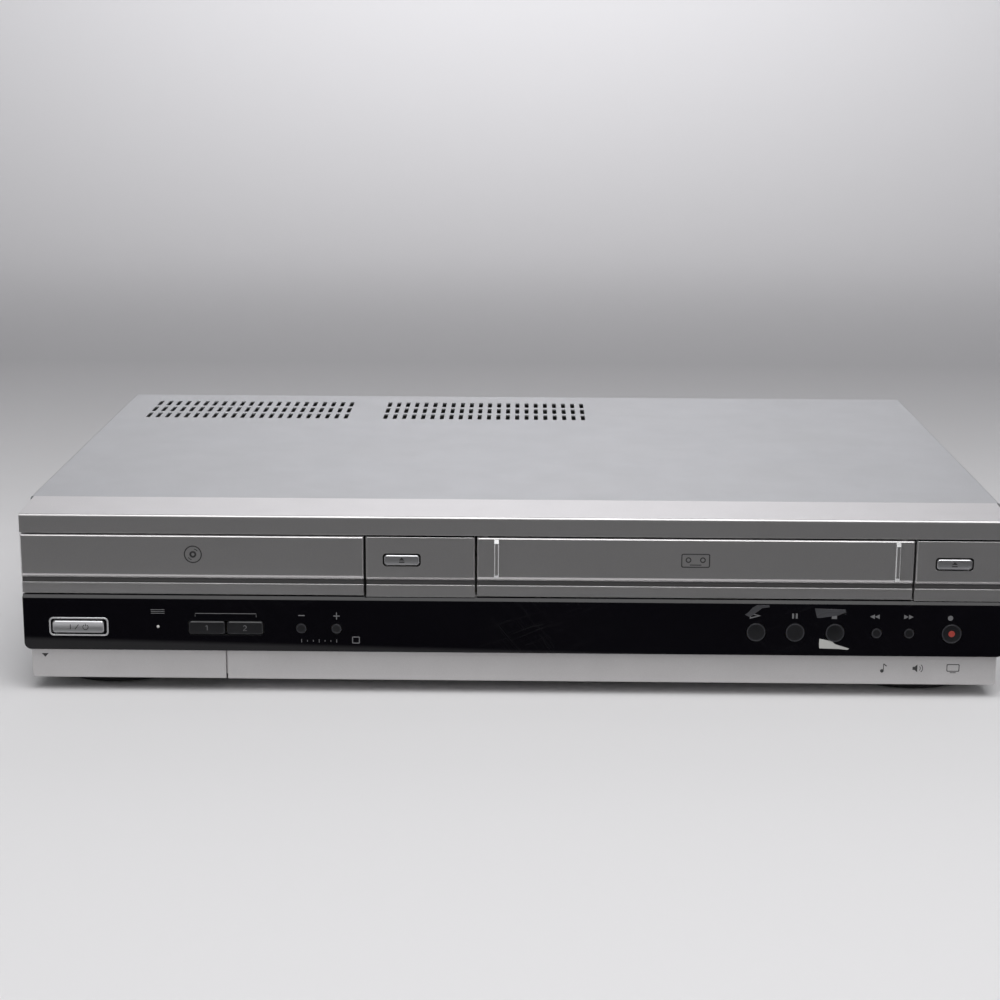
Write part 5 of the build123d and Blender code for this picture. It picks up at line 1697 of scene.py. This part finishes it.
@dataclass
class Mechanism:
    """Small parts inside that show when the tray or the door is open."""

    bench: Workbench
    lens_from_axis: float = 25.0
    lens_profile: tuple[Point, ...] = ((2.4, 0.1), (2.4, 0.0), (2.0, -0.25), (1.2, -0.45), (0.3, -0.52))
    pad_radii: Point = (13.4, 10.2)
    pad_drop: float = 1.6  # of the disc's seat below the turntable's top
    pad_depths: Point = (-0.25, 0.1)

    def lens(self) -> None:
        """Make the glass lens of the pickup."""
        mesh = bmesh.new()
        axis = middle_of("turntable")
        place = top_placer(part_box("pickup_head")[1].z / MM)
        self.bench.turned(mesh, self.lens_profile, place, (axis.x, axis.y + self.lens_from_axis), 28)
        self.bench.piece("pickup_lens", mesh, Ink.LENS_GLASS.value, "sled", "black_plastic", smooth=True)

    def pad(self) -> None:
        """Make the rubber ring that carries the disc on the turntable."""
        mesh = bmesh.new()
        low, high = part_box("turntable")
        middle = ((low.x + high.x) / 2 / MM, (low.y + high.y) / 2 / MM)
        outer, inner = (circle(middle, radius, 48) for radius in self.pad_radii)
        self.bench.band(mesh, outer, inner, top_placer(high.z / MM - self.pad_drop), *self.pad_depths)
        finish = SLOT_FINISHES["rubber_pad"]
        self.bench.piece("turntable_pad", mesh, finish, "turntable", finish.name)

    def build(self) -> None:
        """Make the parts inside."""
        self.lens()
        self.pad()


# ---------------------------------------------------------------------- studio


@dataclass(frozen=True)
class Lamp:
    """One soft round lamp; places and sizes in metres, spread in degrees."""

    name: str
    place: tuple[float, float, float]
    target: tuple[float, float, float]
    size: float
    power: float
    spread: float = 180.0


@dataclass
class Studio:
    """Pale floor and backdrop, soft lamps and the camera of the photograph."""

    front: float  # y of the fascia's front plane, in millimetres
    half_width: float = 9.0  # metres from here on
    near_end: float = -9.0
    bend_start: float = 1.5
    bend_radius: float = 0.8
    bend_steps: int = 12
    wall_top: float = 3.2
    dark_beyond: float = 0.0645  # the floor shows a painted dark reflection to glossy rays from this far in front
    dark_slant: float = 0.063  # how much nearer that is per metre to the right
    dark_soft: float = 0.003
    painted_reflection_tone: Colour = (0.01, 0.01, 0.01)
    far_stretch: Point = (0.1, 0.75)  # y where the floor starts and ends to darken: painted shade further back
    wall_stretch: Point = (0.0, 0.9)  # heights where the backdrop starts and ends to lighten: painted light higher up
    floor_tone: Colour = shown(226, 225, 226)
    far_painted_shade_tone: Colour = shown(176, 175, 177)
    wall_painted_light_tone: Colour = shown(244, 243, 246)
    room_tone: Colour = (0.97, 0.98, 1.0)
    room_light: float = 0.3
    room_seen: float = 0.42  # strength of the room as the camera sees it
    lamps: tuple[Lamp, ...] = (
        Lamp("overhead_lamp", (0.1, -0.6, 1.15), (0.0, -0.1, 0.0), size=1.3, power=12.0),
        Lamp("front_lamp", (-0.6, -2.2, 1.5), (0.0, -0.1, 0.0), size=1.2, power=3.0),
        Lamp("backdrop_lamp", (0.0, 1.3, 2.6), (0.0, 2.3, 0.8), size=1.4, power=17.0, spread=84.0),
    )
    camera_place: tuple[float, float, float] = (3.771, -859.956, 288.533)  # millimetres from the front plane
    yaw: float = -0.01131
    pitch: float = 0.22936
    roll: float = 0.00514
    focal: float = 2061.51  # pixels of a 1000 pixel frame
    frame_pixels: float = 1000.0
    sensor: float = 36.0

    def floor(self) -> None:
        """Make the floor that bends up into the backdrop."""
        profile = [(self.near_end, 0.0), (self.bend_start, 0.0)]
        for step in range(1, self.bend_steps + 1):
            angle = math.pi / 2 * step / self.bend_steps
            profile.append((self.bend_start + self.bend_radius * math.sin(angle),
                            self.bend_radius * (1 - math.cos(angle))))
        profile.append((self.bend_start + self.bend_radius, self.wall_top))
        mesh = bmesh.new()
        rows = [[mesh.verts.new((side * self.half_width, y, z)) for side in (-1, 1)] for y, z in profile]
        for this, other in zip(rows, rows[1:]):
            mesh.faces.new((this[0], this[1], other[1], other[0]))
        data = bpy.data.meshes.new("studio_floor")
        mesh.to_mesh(data)
        mesh.free()
        data.shade_smooth()
        data.materials.append(self.floor_material())
        made = bpy.data.objects.new("studio_floor", data)
        bpy.context.scene.collection.objects.link(made)

    def floor_material(self) -> bpy.types.Material:
        """Build matt pale paper with painted light and shade: a painted dark reflection far in front of the
        object, painted shade on the floor further back and painted light higher up the backdrop.

        Returns:
            The material.
        """
        material = bpy.data.materials.new("studio_paper")
        material.use_nodes = True
        nodes = Nodes(material.node_tree)
        surface = nodes.tree.nodes["Principled BSDF"]
        surface.inputs["Roughness"].default_value = 0.9
        surface.inputs["Specular IOR Level"].default_value = 0.1
        split = nodes.add("ShaderNodeSeparateXYZ")
        nodes.feed(nodes.add("ShaderNodeNewGeometry").outputs["Position"], split.inputs[0])
        x, y, z = split.outputs
        ahead = nodes.math("SUBTRACT", nodes.math("SUBTRACT", self.front * MM, y), self.dark_beyond)
        slanted = nodes.math("ADD", ahead, nodes.math("MULTIPLY", x, self.dark_slant))
        beyond = nodes.ramp(slanted, -self.dark_soft, self.dark_soft)
        # painted dark reflection: glossy rays see the floor dark from here on
        mirrored = nodes.math("MULTIPLY", beyond, nodes.add("ShaderNodeLightPath").outputs["Is Glossy Ray"])
        # painted shade further back on the floor, painted light higher up the backdrop
        behind = nodes.ramp(y, *self.far_stretch)
        raised = nodes.ramp(z, *self.wall_stretch)
        tone = nodes.blend(behind, self.floor_tone, self.far_painted_shade_tone)
        paper = nodes.blend(raised, tone, self.wall_painted_light_tone)
        nodes.feed(nodes.blend(mirrored, paper, self.painted_reflection_tone), surface.inputs["Base Color"])
        return material

    def hang(self, lamp: Lamp) -> None:
        """Hang one soft lamp.

        Args:
            lamp: The lamp.
        """
        data = bpy.data.lights.new(lamp.name, "AREA")
        data.shape = "DISK"
        data.size = lamp.size
        data.energy = lamp.power
        data.spread = math.radians(lamp.spread)
        made = bpy.data.objects.new(lamp.name, data)
        made.location = lamp.place
        made.rotation_euler = (Vector(lamp.target) - Vector(lamp.place)).to_track_quat("-Z", "Y").to_euler()
        bpy.context.scene.collection.objects.link(made)

    def world(self) -> None:
        """Give the room its plain soft light."""
        world = bpy.data.worlds.new("room")
        bpy.context.scene.world = world
        world.use_nodes = True
        nodes = Nodes(world.node_tree)
        background = nodes.tree.nodes["Background"]
        background.inputs["Color"].default_value = (*self.room_tone, 1.0)
        seen = nodes.add("ShaderNodeLightPath").outputs["Is Camera Ray"]
        strength = nodes.ramp(seen, 0.0, 1.0, self.room_light, self.room_seen)
        nodes.feed(strength, background.inputs["Strength"])

    def camera(self) -> None:
        """Set up the photograph's camera."""
        reach = math.cos(self.pitch)
        ahead = Vector((math.sin(self.yaw) * reach, math.cos(self.yaw) * reach, -math.sin(self.pitch)))
        level = Vector((math.cos(self.yaw), -math.sin(self.yaw), 0.0))
        upward = level.cross(ahead)
        right = math.cos(self.roll) * level + math.sin(self.roll) * upward
        up = math.cos(self.roll) * upward - math.sin(self.roll) * level
        data = bpy.data.cameras.new("photo_camera")
        data.sensor_width = self.sensor
        data.lens = self.sensor * self.focal / self.frame_pixels
        data.clip_start, data.clip_end = 0.05, 20.0
        camera = bpy.data.objects.new("photo_camera", data)
        x, y, z = self.camera_place
        place = Vector((x, y + self.front, z)) * MM
        turn = Matrix((right, up, -ahead)).transposed().to_4x4()
        camera.matrix_world = Matrix.Translation(place) @ turn
        bpy.context.scene.collection.objects.link(camera)
        bpy.context.scene.camera = camera

    def build(self) -> None:
        """Set up the whole studio."""
        self.floor()
        for lamp in self.lamps:
            self.hang(lamp)
        self.world()
        self.camera()
        bpy.context.scene.view_settings.view_transform = "Standard"


def main() -> None:
    """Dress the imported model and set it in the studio."""
    logging.basicConfig(level=logging.INFO, format="%(name)s: %(message)s")
    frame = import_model()
    shop = PaintShop()
    shop.dress_nodes(frame["nodes"], frame["record"]["subparts"])
    bench = Workbench(shop)
    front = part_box("tray_front")[0].y / MM
    ControlPanel(bench, front).build()
    KeyMarks(bench, front).build()
    DoorTrim(bench, front).build()
    FasciaPictures(bench, front).build()
    LabelScraps(bench, front).build()
    SocketFittings(bench).build()
    RearPanel(bench).build()
    Mechanism(bench).build()
    Studio(front).build()


if __name__ == "__main__":
    main()
